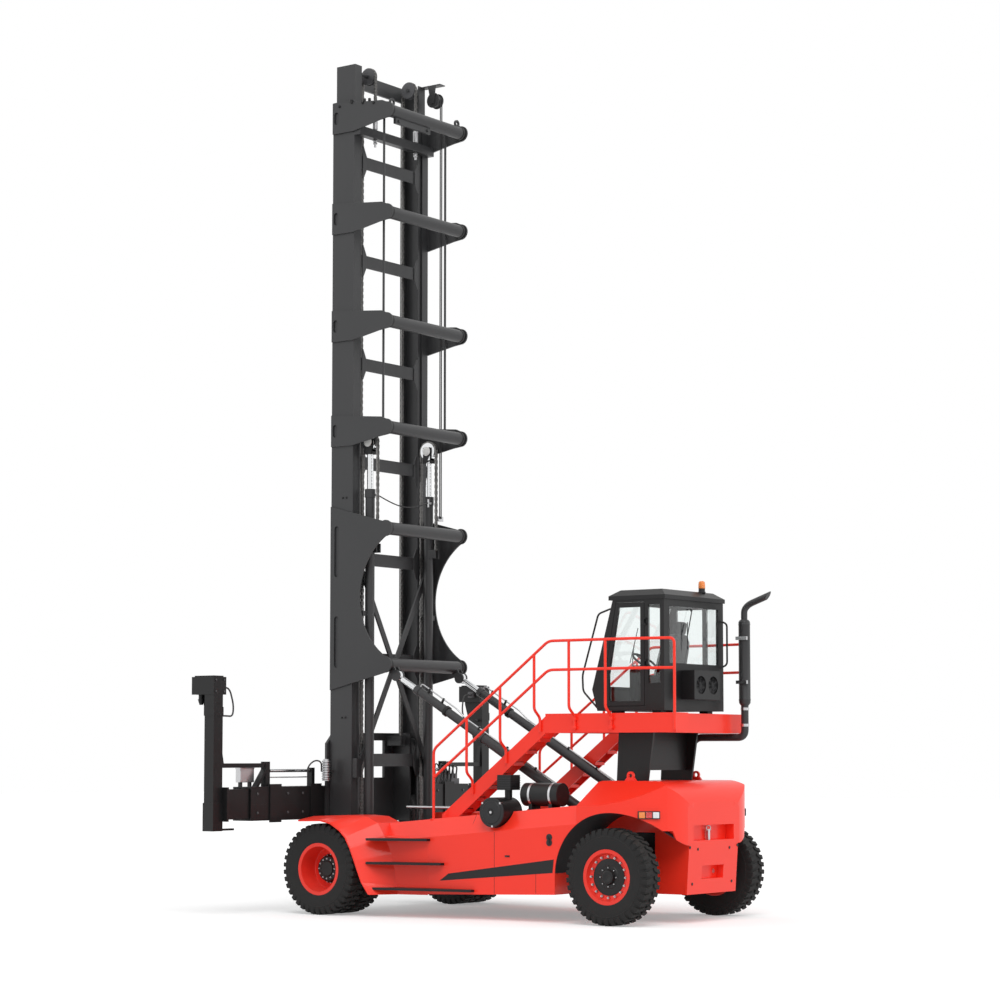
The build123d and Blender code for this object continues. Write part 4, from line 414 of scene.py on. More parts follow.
def lens_of(name, colour):
    """Moulded lens: glossy tinted plastic with level ribs."""
    lens_dust, rib_scale = (0.4, 0.38, 0.35), 40.0
    material, tree, shader = new_finish(name, {"Roughness": 0.12, "Coat Weight": 0.6})
    toned = place_group(tree, tone_and_dust, colour=colour, dust_colour=lens_dust, tone=0.15, dust=0.05)
    tree.links.new(toned.outputs["Colour"], shader.inputs["Base Color"])
    bump_from(tree, shader, wave_height(tree, "Z", rib_scale), 0.5)
    return material


def cloth_of(name, colour):
    """Woven seat cloth: its height is the higher of two crossed waves."""
    lint, weave_scale = (0.2, 0.19, 0.18), 90.0
    material, tree, shader = new_finish(name, {"Roughness": 0.9, "Sheen Weight": 0.4})
    toned = place_group(tree, tone_and_dust, colour=colour, dust_colour=lint, tone=0.3, dust=0.05)
    weave = chain_math(tree, "MAXIMUM", wave_height(tree, "Y", weave_scale),
                       wave_height(tree, "Z", weave_scale))
    tree.links.new(toned.outputs["Colour"], shader.inputs["Base Color"])
    bump_from(tree, shader, weave, 0.6, depth=0.001)
    return material


cab_glazing = glass_of("cab_glazing", (0.93, 0.96, 0.955))
amber_lens = lens_of("amber_lens", (0.85, 0.22, 0.01))
red_lens = lens_of("red_lens", (0.62, 0.012, 0.012))
clear_lens = lens_of("clear_lens", (0.75, 0.76, 0.78))
seat_fabric = cloth_of("seat_fabric", (0.020, 0.021, 0.024))

slot_finish = {"red_paint": red_paint, "charcoal_paint": charcoal_paint, "black_paint": black_paint,
               "rim_paint": rim_paint, "cast_metal": cast_metal, "chrome": chrome,
               "chain_steel": chain_steel, "tyre_rubber": tyre_rubber, "glass": cab_glazing,
               "seat_fabric": seat_fabric, "moulded_plastic": moulded_plastic, "lamp_plastic": clear_lens}
for solid in nodes.values():
    for place in solid.material_slots:
        place.material = slot_finish[place.material.name.split(".")[0]]

# These solids share the mast's charcoal slot, but the photograph shows them darker than the mast
dark_nodes = ("cab_base", "cab_frame", "cab_roof", "door_frame", "spreader_main_beam",
              "telescopic_beam_left", "telescopic_beam_right")
for name in dark_nodes:
    for place in nodes[name].material_slots:
        place.material = black_paint
print("dressed", len(nodes), "solids from", len(slot_finish), "slots")

# %% [markdown]
# ## Surfaces from arrays
# Every new piece is a set of surfaces: a grid of points in two parameters, a profile turned about an
# axis, a section carried along a path, or one small shape repeated at many places. Each helper gives
# its points and faces as arrays. The last helper joins them into one mesh at the origin, closes seams
# and poles, turns the faces outwards and says which body the piece rides on.

# %% Surface helpers
def grid_faces(rows, columns, wrap_rows=False, wrap_columns=False):
    """Four-cornered faces of a grid of rows x columns points, closed round either way if asked."""
    row, column = np.meshgrid(np.arange(rows - (not wrap_rows)), np.arange(columns - (not wrap_columns)),
                              indexing="ij")
    next_row, next_column = (row + 1) % rows, (column + 1) % columns
    return np.stack([row * columns + column, next_row * columns + column, next_row * columns + next_column,
                     row * columns + next_column], axis=-1).reshape(-1, 4)


def lathe(profile, segments, middle=(0, 0, 0), axis=1):
    """Profile of (along, radius) pairs turned about an axis: radius x (cos, sin) of the turn."""
    along, radius = np.array(profile, float).T
    turn = np.linspace(0, 2 * np.pi, segments, endpoint=False)
    across = [other for other in range(3) if other != axis]
    points = np.zeros((segments, len(along), 3))
    points[..., axis] = along
    points[..., across[0]] = radius * np.cos(turn)[:, None]
    points[..., across[1]] = radius * np.sin(turn)[:, None]
    return points.reshape(-1, 3) + middle, [grid_faces(segments, len(along), wrap_rows=True)]


def tube(path, radius, sides=12):
    """Round section carried along a path: centre + radius x (cos, sin) in two directions square to it.

    Both ends are drawn in to a point, so the tube is closed.
    """
    path = np.array(path, float)
    way = np.gradient(path, axis=0)
    way /= np.linalg.norm(way, axis=1, keepdims=True)
    steady = np.eye(3)[np.argmin(np.abs(way).max(axis=0))]
    first = np.cross(way, steady)
    first /= np.linalg.norm(first, axis=1, keepdims=True)
    second = np.cross(way, first)
    turn = np.linspace(0, 2 * np.pi, sides, endpoint=False)
    ring = np.cos(turn)[None, :, None] * first[:, None] + np.sin(turn)[None, :, None] * second[:, None]
    start, end = (np.repeat(point[None, None], sides, 1) for point in (path[0], path[-1]))
    points = np.concatenate([start, path[:, None] + radius * ring, end])
    return points.reshape(-1, 3), [grid_faces(len(points), sides, wrap_columns=True)]


def bent(corners, bend, steps=8):
    """Path through corners with round bends: at each corner the curve (1-t)^2 a + 2t(1-t) corner + t^2 b."""
    corners = np.array(corners, float)
    longest_share = 0.48
    blend = np.linspace(0, 1, steps)[:, None]
    stretches = [corners[:1]]
    for before, corner, after in zip(corners[:-2], corners[1:-1], corners[2:]):
        reach_in = min(bend, np.linalg.norm(before - corner) * longest_share)
        reach_out = min(bend, np.linalg.norm(after - corner) * longest_share)
        start = corner + (before - corner) / np.linalg.norm(before - corner) * reach_in
        end = corner + (after - corner) / np.linalg.norm(after - corner) * reach_out
        stretches.append((1 - blend) ** 2 * start + 2 * blend * (1 - blend) * corner + blend ** 2 * end)
    return np.concatenate([*stretches, corners[-1:]])


def prism(outline, low, high, axis=1):
    """Outline of pairs, in the two other directions in order, drawn out between two places along an axis."""
    outline = np.array(outline, float)
    count = len(outline)
    points = np.zeros((2, count, 3))
    across = [other for other in range(3) if other != axis]
    points[..., across[0]] = outline[:, 0]
    points[..., across[1]] = outline[:, 1]
    points[0, :, axis], points[1, :, axis] = low, high
    ends = [np.arange(count)[None], np.arange(count, 2 * count)[None]]
    return points.reshape(-1, 3), [grid_faces(2, count, wrap_columns=True), *ends]


def box_between(low, high):
    """Box between two corners."""
    low, high = np.minimum(low, high), np.maximum(low, high)
    outline = [(low[0], low[1]), (high[0], low[1]), (high[0], high[1]), (low[0], high[1])]
    return prism(outline, low[2], high[2], axis=2)


def lofted(sections):
    """Closed sections, rows x corners x 3, joined from row to row, with both ends closed."""
    sections = np.array(sections, float)
    rows, corners = sections.shape[:2]
    ends = [np.arange(corners)[None], np.arange((rows - 1) * corners, rows * corners)[None]]
    return sections.reshape(-1, 3), [grid_faces(rows, corners, wrap_columns=True), *ends]


def repeat(shape, places, turn=np.eye(3)):
    """One shape at many places; turn is one 3 x 3 matrix for all of them or one for each."""
    points, faces = shape
    places = np.array(places, float)
    turns = np.broadcast_to(np.array(turn, float), (len(places), 3, 3))
    moved = np.einsum("nij,pj->npi", turns, points) + places[:, None]
    shift = (np.arange(len(places)) * len(points))[:, None, None]
    return moved.reshape(-1, 3), [(block[None] + shift).reshape(-1, block.shape[1]) for block in faces]


merge_distance, thin_edge = 1e-5, 1e-6
bevel_angle = np.radians(40)


def put(name, shapes, finish, body, replaced=(), sharp=32, bevel=0.0):
    """One piece from several shapes: points and faces joined, seams merged, faces turned outwards.

    Its slot has the finish's own name. A piece without a body is attached to none.
    """
    points, faces, start = [], [], 0
    for shape_points, blocks in shapes:
        points.append(shape_points)
        faces.extend(corner for block in blocks for corner in (block + start).tolist())
        start += len(shape_points)
    mesh = bpy.data.meshes.new(name)
    mesh.from_pydata(np.concatenate(points).tolist(), [], faces)
    work = bmesh.new()
    work.from_mesh(mesh)
    bmesh.ops.remove_doubles(work, verts=work.verts, dist=merge_distance)
    bmesh.ops.dissolve_degenerate(work, edges=work.edges, dist=thin_edge)
    bmesh.ops.recalc_face_normals(work, faces=work.faces)
    work.to_mesh(mesh)
    work.free()
    mesh.polygons.foreach_set("use_smooth", np.ones(len(mesh.polygons), bool))
    mesh.set_sharp_from_angle(angle=np.radians(sharp))
    mesh.materials.append(finish)
    piece = bpy.data.objects.new(name, mesh)
    bpy.context.scene.collection.objects.link(piece)
    if bevel:
        rounding = piece.modifiers.new("rounded_edges", "BEVEL")
        rounding.width, rounding.segments, rounding.limit_method = bevel, 2, "ANGLE"
        rounding.angle_limit = bevel_angle
    if replaced:
        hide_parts(*replaced)
    if body:
        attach(piece, body)
    return piece


def mirror_y(shapes):
    """Mirror image in y of each shape."""
    return [(points * [1, -1, 1], faces) for points, faces in shapes]


hexagon = lathe([(0, 0), (0, 1), (0.75, 1), (1, 0.86), (1, 0)], 6, axis=2)


def bolt_heads(places, radius, height, outward):
    """Hexagon heads of one size at many places, their axis along the outward direction."""
    outward = np.array(outward, float) / np.linalg.norm(outward)
    side = np.cross(outward, np.eye(3)[np.argmin(np.abs(outward))])
    side /= np.linalg.norm(side)
    frame_of = np.stack([side, np.cross(outward, side), outward], axis=1)
    return repeat((hexagon[0] * [radius, radius, height], hexagon[1]), places, frame_of)


print("helpers ready")

# %% [markdown]
# ## Tyres
# Industrial tyres have a round-shouldered carcass with raised rings on the wall, and heavy blocks of
# tread that reach round the shoulder. The carcass is a turned profile. A block is a short bar of six-
# cornered sections that starts on the wall, climbs over the shoulder and leans round as it nears the
# middle; it is worked out once and repeated by a turn about the axle.

# %% Tyres
lugs_round = 38
carcass_segments = 96
bead_radius = 0.3625


def carcass(middle):
    """Turned wall and tread floor: half profile of (along, radius), mirrored and closed at the beads."""
    half = [(0.150, bead_radius), (0.158, 0.376), (0.172, 0.400), (0.1745, 0.408), (0.176, 0.404),
            (0.181, 0.440), (0.186, 0.490), (0.1875, 0.530), (0.1862, 0.556), (0.1885, 0.560),
            (0.1882, 0.568), (0.184, 0.572), (0.178, 0.600), (0.170, 0.632), (0.158, 0.652),
            (0.120, 0.660), (0.0, 0.663)]
    profile = half + [(-along, radius) for along, radius in half[-2::-1]]
    points, faces = lathe(profile, carcass_segments, middle)
    inside = grid_faces(carcass_segments, 2, wrap_rows=True)
    count = len(profile)
    closing = np.where(inside % 2 == 0, inside // 2 * count, inside // 2 * count + count - 1)
    return points, [*faces, closing]


def tread_block(way):
    """One block on one shoulder, at the top of the wheel: sections of six corners along the axle."""
    # Rows: along, foot radius, crown radius, half angle in lug pitches, lean in lug pitches
    rows = np.array([(0.184, 0.572, 0.584, 0.20, 0.0), (0.183, 0.58, 0.632, 0.29, 0.0),
                     (0.170, 0.60, 0.682, 0.30, 0.02), (0.105, 0.64, 0.685, 0.28, 0.10),
                     (0.030, 0.64, 0.685, 0.20, 0.34)])
    pitch = 2 * np.pi / lugs_round
    worn_corner, stagger = 0.008, 0.25
    along, foot, crown, half_angle, lean = rows.T
    share = np.array([-1, -1, -0.86, 0.86, 1, 1])
    corner = crown - worn_corner
    edge = np.stack([foot, corner, crown, crown, corner, foot], axis=1)
    angle = (half_angle[:, None] * share + lean[:, None] + stagger * (way < 0)) * pitch
    across = np.broadcast_to(way * along[:, None], edge.shape)
    return lofted(np.stack([edge * np.sin(angle), across, edge * np.cos(angle)], axis=-1))


def turns_about_y(angles):
    """Rotation matrices about the axle for an array of angles."""
    cos, sin, zero, one = np.cos(angles), np.sin(angles), np.zeros_like(angles), np.ones_like(angles)
    rows = ((cos, zero, sin), (zero, one, zero), (-sin, zero, cos))
    return np.stack([np.stack(row, -1) for row in rows], 1)


def tyre_shapes(middle):
    """Carcass and both rows of blocks round one wheel centre."""
    turns = turns_about_y(np.arange(lugs_round) * 2 * np.pi / lugs_round)
    rows = [repeat(tread_block(way), np.tile(middle, (lugs_round, 1)), turns) for way in (1, -1)]
    return [carcass(middle), *rows]


steer_axle_x = node_middle("tyre_rear_left")[0]
twin_outer_y, twin_inner_y, steer_wheel_y = 1.865, 1.425, 1.460
corners_of_machine = [(end, side, way) for end in ("front", "rear")
                      for side, way in (("left", 1), ("right", -1))]
for end, side, way in corners_of_machine:
    middles = [twin_outer_y, twin_inner_y] if end == "front" else [steer_wheel_y]
    axle_x = drive_axle_x if end == "front" else steer_axle_x
    shapes = [shape for y in middles for shape in tyre_shapes((axle_x, way * y, wheel_radius))]
    put(f"tyres_{end}_{side}", shapes, tyre_rubber, f"wheel_{end}_{side}", replaced=[f"tyre_{end}_{side}"])
print("tyres:", lugs_round, "blocks a side")

# %% [markdown]
# ## Rims
# The drive wheels have a deep red dish with a dark hub far inside; the steered wheels have a flat red
# ring, a black plate and a circle of bright nuts. Both are turned profiles that run from the tyre's
# bead, over the rolled flange, down the dish to the hub. Nuts are hexagons set in a circle.

# %% Rims, hubs and nuts
rim_segments, inner_segments = 72, 48
flange = [(0.152, 0.362), (0.158, 0.380), (0.163, 0.3905), (0.168, 0.392), (0.1685, 0.386), (0.166, 0.372),
          (0.166, 0.340)]
drive_dish = [(0.06, 0.335), (-0.02, 0.331), (-0.10, 0.328), (-0.135, 0.318), (-0.150, 0.290),
              (-0.158, 0.235), (-0.158, 0.0)]
steer_dish = [(0.135, 0.334), (0.112, 0.328), (0.098, 0.318), (0.094, 0.300), (0.094, 0.0)]
back = [(-0.16, 0.0), (-0.16, 0.336), (-0.166, 0.36), (-0.166, 0.388), (-0.152, 0.362)]
inner_drum = [(-0.10, 0.34), (0.30, 0.34), (0.30, 0.0)]
drive_hub = [(-0.16, 0.235), (-0.145, 0.232), (-0.140, 0.222), (-0.140, 0.205), (-0.120, 0.198),
             (-0.062, 0.190), (-0.052, 0.178), (-0.052, 0.120), (-0.046, 0.114), (-0.034, 0.108),
             (-0.034, 0.0)]
steer_hub = [(0.09, 0.262), (0.101, 0.260), (0.104, 0.252), (0.104, 0.165), (0.110, 0.158), (0.110, 0.110),
             (0.128, 0.104), (0.150, 0.096), (0.158, 0.084), (0.160, 0.060), (0.156, 0.052), (0.156, 0.0)]
# Rows of nuts: distance along the axle, radius of the circle, count, radius and height of a nut
drive_nuts = [(-0.052, 0.148, 12, 0.014, 0.018), (-0.14, 0.213, 20, 0.011, 0.016)]
steer_nuts = [(0.094, 0.289, 16, 0.020, 0.030), (0.110, 0.134, 8, 0.011, 0.014)]
stud_radius_share, stud_height_share = 0.55, 1.6


def nut_circle(middle, y, ring_radius, count, radius, height, way):
    """Nuts on a circle about the axle; each also gets the end of its stud, a thinner hexagon."""
    turn = np.arange(count) * 2 * np.pi / count
    places = np.stack([middle[0] + ring_radius * np.cos(turn), np.full(count, y),
                       middle[2] + ring_radius * np.sin(turn)], 1)
    return [bolt_heads(places, radius, height, (0, way, 0)),
            bolt_heads(places, radius * stud_radius_share, height * stud_height_share, (0, way, 0))]


def on_wheel(profile, segments, centre, way):
    """Profile turned about the axle at a wheel's centre; way is 1 on the left and -1 on the right."""
    points, faces = lathe(profile, segments)
    return points * [1, way, 1] + centre, faces


for end, side, way in corners_of_machine:
    front = end == "front"
    face_y = twin_outer_y if front else steer_wheel_y
    centre = np.array((drive_axle_x if front else steer_axle_x, way * face_y, wheel_radius))
    body = f"wheel_{end}_{side}"
    dish = flange + (drive_dish if front else steer_dish)
    rim = [on_wheel(dish + back, rim_segments, centre, way)]
    if front:
        inner = [(along + twin_inner_y - twin_outer_y, radius) for along, radius in back + inner_drum]
        rim.append(on_wheel(inner, inner_segments, centre, way))
    put(f"rims_{end}_{side}", rim, rim_paint, body, replaced=[f"rim_{end}_{side}"])
    hub = on_wheel(drive_hub if front else steer_hub, inner_segments, centre, way)
    put(f"hub_{end}_{side}", [hub], black_paint, body)
    nuts = [nut for along, ring, count, radius, height in (drive_nuts if front else steer_nuts)
            for nut in nut_circle(centre, way * (face_y + along), ring, count, radius, height, way)]
    put(f"wheel_nuts_{end}_{side}", nuts, zinc, body)
print("rims, hubs and nuts on", len(corners_of_machine), "corners")

# %% [markdown]
# ## Leaf chains
# A leaf chain is packs of flat plates, offset from one link to the next, on cross pins. One even and
# one odd link are drawn standing up; the path is stepped off in pitches by its arc length, and each
# link is turned into the path's direction there. The straight runs between two stages of the mast
# stretch as the stages move, so they ride on no body.

# %% Leaf chains
chain_pitch, half_plate = 0.05, 0.0032
plate_outline = [(-0.006, -0.034), (0.006, -0.034), (0.012, -0.022), (0.012, 0.022), (0.006, 0.034),
                 (-0.006, 0.034), (-0.012, 0.022), (-0.012, -0.022)]
pin_profile = [(-0.034, 0), (-0.034, 0.008), (0.034, 0.008), (0.034, 0)]


def chain_link(offsets):
    """Plates at the given places along y, and the pin at the link's lower end."""
    plates = [prism(plate_outline, y - half_plate, y + half_plate) for y in offsets]
    return [*plates, lathe(pin_profile, 6, (0, 0, -chain_pitch / 2))]


def leaf_chain(path, y):
    """Chain along a path of (x, z) points, stepped off in pitches."""
    path = np.array(path, float)
    run = np.concatenate([[0], np.cumsum(np.linalg.norm(np.diff(path, axis=0), axis=1))])
    stops = np.arange(chain_pitch / 2, run[-1], chain_pitch)
    look_ahead = 0.01

    def place_at(distance):
        return np.interp(distance, run, path[:, 0]), np.interp(distance, run, path[:, 1])

    x, z = place_at(stops)
    way = np.stack(place_at(stops + look_ahead), 1) - np.stack(place_at(stops - look_ahead), 1)
    turns = turns_about_y(np.arctan2(way[:, 0], way[:, 1]))
    places = np.stack([x, np.full_like(x, y), z], 1)
    shapes = []
    for parity, offsets in ((0, (-0.026, -0.009, 0.009, 0.026)), (1, (-0.0175, 0.0, 0.0175))):
        shapes += [repeat(part, places[parity::2], turns[parity::2]) for part in chain_link(offsets)]
    return shapes


def half_turn(x, z, radius):
    """Path over the top of a sheave, from its back to its front."""
    angle = np.linspace(np.pi, 0, 24)
    return np.stack([x + radius * np.cos(angle), z + radius * np.sin(angle)], 1)


def chain_pair(path, y):
    """The same chain on both sides of the mast."""
    return [shape for way in (1, -1) for shape in leaf_chain(path, way * y)]


# Rows: name, place in y, sheave (x, z) from the axle, radius, foot of back and front run, bodies in order
chain_rows = [("carriage_chain", 0.525, (0.290, 13.21), 0.1305, 12.32, 2.69,
               "mast_outer", "mast_inner", "carriage"),
              ("lift_chain", 0.755, (0.050, 7.29), 0.1505, 5.69, 1.25, "mast_outer", "lift_rod_pair", None)]
for name, y, sheave, radius, back_z, front_z, low_body, head_body, far_body in chain_rows:
    x, z = drive_axle_x + sheave[0], sheave[1]
    back_run = chain_pair([(x - radius, back_z), (x - radius, z)], y)
    front_run = chain_pair([(x + radius, z), (x + radius, front_z)], y)
    turn_run = chain_pair(half_turn(x, z, radius), y)
    if far_body is None:
        turn_run += front_run
    put(f"{name}_turn", turn_run, chain_steel, head_body, replaced=[f"{name}s"])
    rear = put(f"{name}_back", back_run, chain_steel, None)
    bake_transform(rear)
    if far_body:
        fore = put(f"{name}_front", front_run, chain_steel, None)
        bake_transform(fore)
print("chains of pitch", chain_pitch)

# %% [markdown]
# ## Tubes, rods and bolts of the mast
# From here on, places are written as metres forward of the drive axle, to the left and up, and moved
# into the row frame at the end. Collars stand at the ends of the mast's cross tubes, thin rods run
# between them, and bolts hold the head plates. They are turned profiles, tubes and hexagons, since each
# of them repeats at known heights.

# %% Tubes, rods and bolts of the mast
def ahead(shapes):
    """Shapes moved forward from the drive axle's frame to the row frame."""
    return [(points + (drive_axle_x, 0, 0), faces) for points, faces in shapes]


def both(shapes):
    """Shapes and their mirror images."""
    return [*shapes, *mirror_y(shapes)]


tube_x, tube_z = -0.434, (12.484, 10.866, 9.148, 7.481, 5.901, 3.790)
collar_profile = [(0.898, 0.0), (0.898, 0.104), (0.902, 0.109), (0.952, 0.109), (0.956, 0.104), (0.956, 0.0)]
collars = [lathe(collar_profile, 40, (tube_x, 0, z)) for z in tube_z]
put("tube_collars", ahead(both(collars)), black_paint, "mast_outer")

rod_x, rod_y, rod_ends, rod_radius = -0.24, 0.80, (7.40, 12.50), 0.019
rods = [tube([(rod_x, rod_y, z) for z in rod_ends], rod_radius)]
rods += [box_between((-0.345, 0.775, z - 0.03), (-0.225, 0.825, z + 0.03)) for z in tube_z[:4]]
under_bar = [box_between((-0.47, -0.10, 12.295), (-0.425, 0.80, 12.387)),
             bolt_heads([(-0.47, -0.02, 12.34), (-0.47, 0.72, 12.34)], 0.024, 0.02, (-1, 0, 0))]
put("mast_rods", ahead([*both(rods), *under_bar]), charcoal_paint, "mast_outer")

plate_bolts = [(0.52, 0.985, 12.67), (0.27, 0.985, 12.70), (0.05, 0.985, 12.66), (-0.17, 0.985, 12.63)]
edge_nuts = [(0.30, 0.972, 12.702), (0.02, 0.972, 12.678), (-0.08, 0.972, 12.668)]
upright_bolts = [(0.36, 0.960, 6.42), (0.43, 0.960, 6.42), (0.36, 0.960, 2.98), (0.43, 0.960, 2.98)]
bolts = [bolt_heads(plate_bolts, 0.022, 0.018, (0, 1, 0)), bolt_heads(edge_nuts, 0.024, 0.05, (0, 0, 1)),
         bolt_heads(upright_bolts, 0.016, 0.014, (0, 1, 0))]
put("mast_bolts", ahead(both(bolts)), black_paint, "mast_outer")
print("collars on", len(tube_z), "tubes")

# %% [markdown]
# ## Chain anchors and gussets
# The carriage's chains end in sprung anchor bolts, so that both chains pull alike. A spring is a helix:
# a circle in x and y whose height grows with the turn. Gussets stiffen the rungs of the inner stage,
# one outline at each rung.

# %% Chain anchors and gussets
anchor_x, anchor_y = 0.1595, 0.525
coil_turns, coil_radius, coil_foot, coil_height = 9, 0.036, 12.335, 0.165
spring_turn = np.linspace(0, 2 * np.pi * coil_turns, coil_turns * 14)
coil = np.stack([anchor_x + coil_radius * np.cos(spring_turn), anchor_y + coil_radius * np.sin(spring_turn),
                 coil_foot + spring_turn / spring_turn[-1] * coil_height], 1)
anchor = [tube(coil, 0.0075, 6), tube([(anchor_x, anchor_y, 12.05), (anchor_x, anchor_y, 12.53)], 0.017),
          bolt_heads([(anchor_x, anchor_y, 12.10), (anchor_x, anchor_y, 12.14)], 0.034, 0.034, (0, 0, 1)),
          bolt_heads([(anchor_x, anchor_y, 12.502)], 0.042, 0.02, (0, 0, 1))]
put("chain_anchors", ahead(both(anchor)), zinc, "mast_outer")


def gusset(z):
    """Six-cornered plate at the end of a rung at one height."""
    outline = [(0.72, z - 0.26), (0.72, z + 0.26), (0.69, z + 0.24), (0.62, z + 0.10), (0.62, z - 0.10),
               (0.69, z - 0.24)]
    return prism(outline, 0.247, 0.264, axis=0)


inner_top = 13.34
rung_drops = np.array((1.552, 3.139, 4.786, 6.353, 7.868, 9.440, 11.020))
gussets = [gusset(z) for z in inner_top - rung_drops]
put("ladder_gussets", ahead(both(gussets)), charcoal_paint, "mast_inner", bevel=0.004)
print("gussets at", len(gussets), "rungs")

# %% [markdown]
# ## Hose pulley
# Two hoses climb the mast to a pulley on the inner stage. The pulley is a turned drum with two flanges,
# hung from a bracket. The hoses stretch between the stages as the mast lifts, so they have many rings
# and ride on no body.

# %% Hose pulley
pulley_x, pulley_z = 0.02, 13.08
hose_x, hose_foot = -0.098, 6.2
drum = [(-0.935, 0.0), (-0.935, 0.125), (-0.920, 0.125), (-0.916, 0.100), (-0.824, 0.100), (-0.820, 0.125),
        (-0.805, 0.125), (-0.805, 0.0)]
axle = [(-0.940, 0.0), (-0.940, 0.03), (-0.79, 0.03), (-0.79, 0.0)]
pulley = [lathe(drum, 40, (pulley_x, 0, pulley_z)), lathe(axle, 16, (pulley_x, 0, pulley_z)),
          box_between((-0.13, -0.940, 13.312), (0.268, -0.795, 13.330)),
          prism([(-0.01, 13.02), (0.05, 13.02), (0.11, 13.315), (-0.05, 13.315)], -0.800, -0.786)]
put("hose_pulley", ahead(pulley), charcoal_paint, "mast_inner", bevel=0.003)
for index, y in enumerate((-0.895, -0.855)):
    hose_path = [(hose_x, y, z) for z in np.linspace(hose_foot, pulley_z, 60)]
    hose = put(f"pulley_hose_{index + 1}", ahead([tube(hose_path, 0.0095, 8)]), hose_rubber, None)
    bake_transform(hose)
clips = [box_between((-0.09, -0.965, 6.16), (-0.05, -0.835, 6.24))]
put("hose_clip", ahead(clips), zinc, "mast_outer", bevel=0.003)
print("hose pulley at", pulley_z, "m")

# %% [markdown]
# ## Crossheads
# Each bright lift rod carries a dark crosshead: two cheeks and a web round the sheave, with a pale
# cover on its pin. One hose sags between the two cylinders' heads. Its dip follows a sine.

# %% Crossheads
def length_of(path):
    """Length of a path: the sum of its steps."""
    return float(np.linalg.norm(np.diff(path, axis=0), axis=1).sum())


rod_middle_y, head_sheave = 0.755, (0.05, 0, 7.29)
cheeks = [box_between((-0.022, rod_middle_y + low, 7.098), (0.122, rod_middle_y + high, 7.352))
          for low, high in ((-0.064, -0.044), (0.044, 0.064))]
cheeks.append(box_between((-0.022, 0.691, 7.098), (0.122, 0.819, 7.144)))
put("crossheads", ahead(both(cheeks)), black_paint, "lift_rod_pair", bevel=0.004)
cover_profiles = [[(-0.691, 0.0), (-0.691, 0.074), (-0.684, 0.074), (-0.680, 0.066), (-0.680, 0.0)],
                  [(0.819, 0.0), (0.819, 0.074), (0.826, 0.074), (0.830, 0.066), (0.830, 0.0)]]
pin_covers = [lathe(profile, 32, head_sheave) for profile in cover_profiles]
put("sheave_pin_covers", ahead(pin_covers), pale_mark, "lift_rod_pair")

hose_diameter = 0.020
sag = np.linspace(0, 1, 40)
dip = np.sin(np.pi * sag)
sag_path = np.stack([-0.045 - 0.03 * dip, 0.68 - 1.30 * sag, 6.46 - 0.02 * sag - 0.13 * dip], 1)
sag_row = sag_path + (drive_axle_x, 0, 0)
sag_hose = put("crosshead_hose", [tube(sag_row, hose_diameter / 2, 10)], hose_rubber, "mast_outer")
tees = [tube([(-0.045, -0.62, 6.44), (-0.03, -0.70, 6.44)], 0.018),
        tube([(-0.045, -0.62, 6.37), (-0.045, -0.62, 6.50)], 0.014),
        tube([(-0.045, 0.68, 6.46), (-0.03, 0.72, 6.46)], 0.016)]
put("hose_tees", ahead(tees), zinc, "mast_outer")
print("crosshead hose", round(length_of(sag_row), 3), "m long")

# %% [markdown]
# ## Side panels
# A dark stripe that widens to the rear, thin panel seams and black handles lie a millimetre proud of
# the red sides. They are thin solids on the panel instead of a painted pattern, so their edges stay
# sharp from near by.

# %% Side panels
side_y, proud = 1.600, 0.001
stripe_outline = [(-1.966, 0.552), (-2.127, 0.661), (-4.010, 0.912), (-3.989, 0.719)]
stripe = prism(stripe_outline, side_y - proud, side_y + 0.0015)
put("body_stripes", ahead(both([stripe])), black_paint, "chassis")


def seam_section(outer_y, inner_y, z):
    """Four corners of the seam on the sloping upper panel, at one height."""
    near_x, far_x = -2.507, -2.513
    return [(near_x, outer_y, z), (far_x, outer_y, z), (far_x, inner_y, z), (near_x, inner_y, z)]


seams = [box_between((-2.965, side_y - proud, 0.37), (-2.959, side_y + proud, 1.283)),
         box_between((-3.70, side_y - proud, 0.42), (-3.694, side_y + proud, 0.70)),
         lofted([seam_section(side_y + proud, side_y - 0.003, 1.251), seam_section(1.4215, 1.4175, 1.521)])]
put("panel_seams", ahead(both(seams)), black_paint, "chassis")

latch_profile = [(1.598, 0.0), (1.598, 0.050), (1.606, 0.050), (1.610, 0.042), (1.610, 0.0)]
latch = [lathe(latch_profile, 28, (-3.932, 0, z)) for z in (1.225, 1.150)]
latch.append(tube([(-3.90, 1.613, 1.24), (-3.93, 1.620, 1.19), (-3.935, 1.616, 1.13)], 0.012))
handle = [box_between((-3.235, 1.598, 0.928), (-3.155, 1.607, 0.952)),
          tube([(-3.225, 1.61, 0.94), (-3.165, 1.612, 0.938)], 0.008)]
put("door_latches", ahead(both([*latch, *handle])), moulded_plastic, "chassis")
print("stripe, seams and latches on the sides")

# %% [markdown]
# ## Arch liners
# Black liners close the steered wheels' arches. A section in y and radius is carried round the arch,
# and its outer edge follows the flank, which draws in towards the tail, so its y is looked up from x.

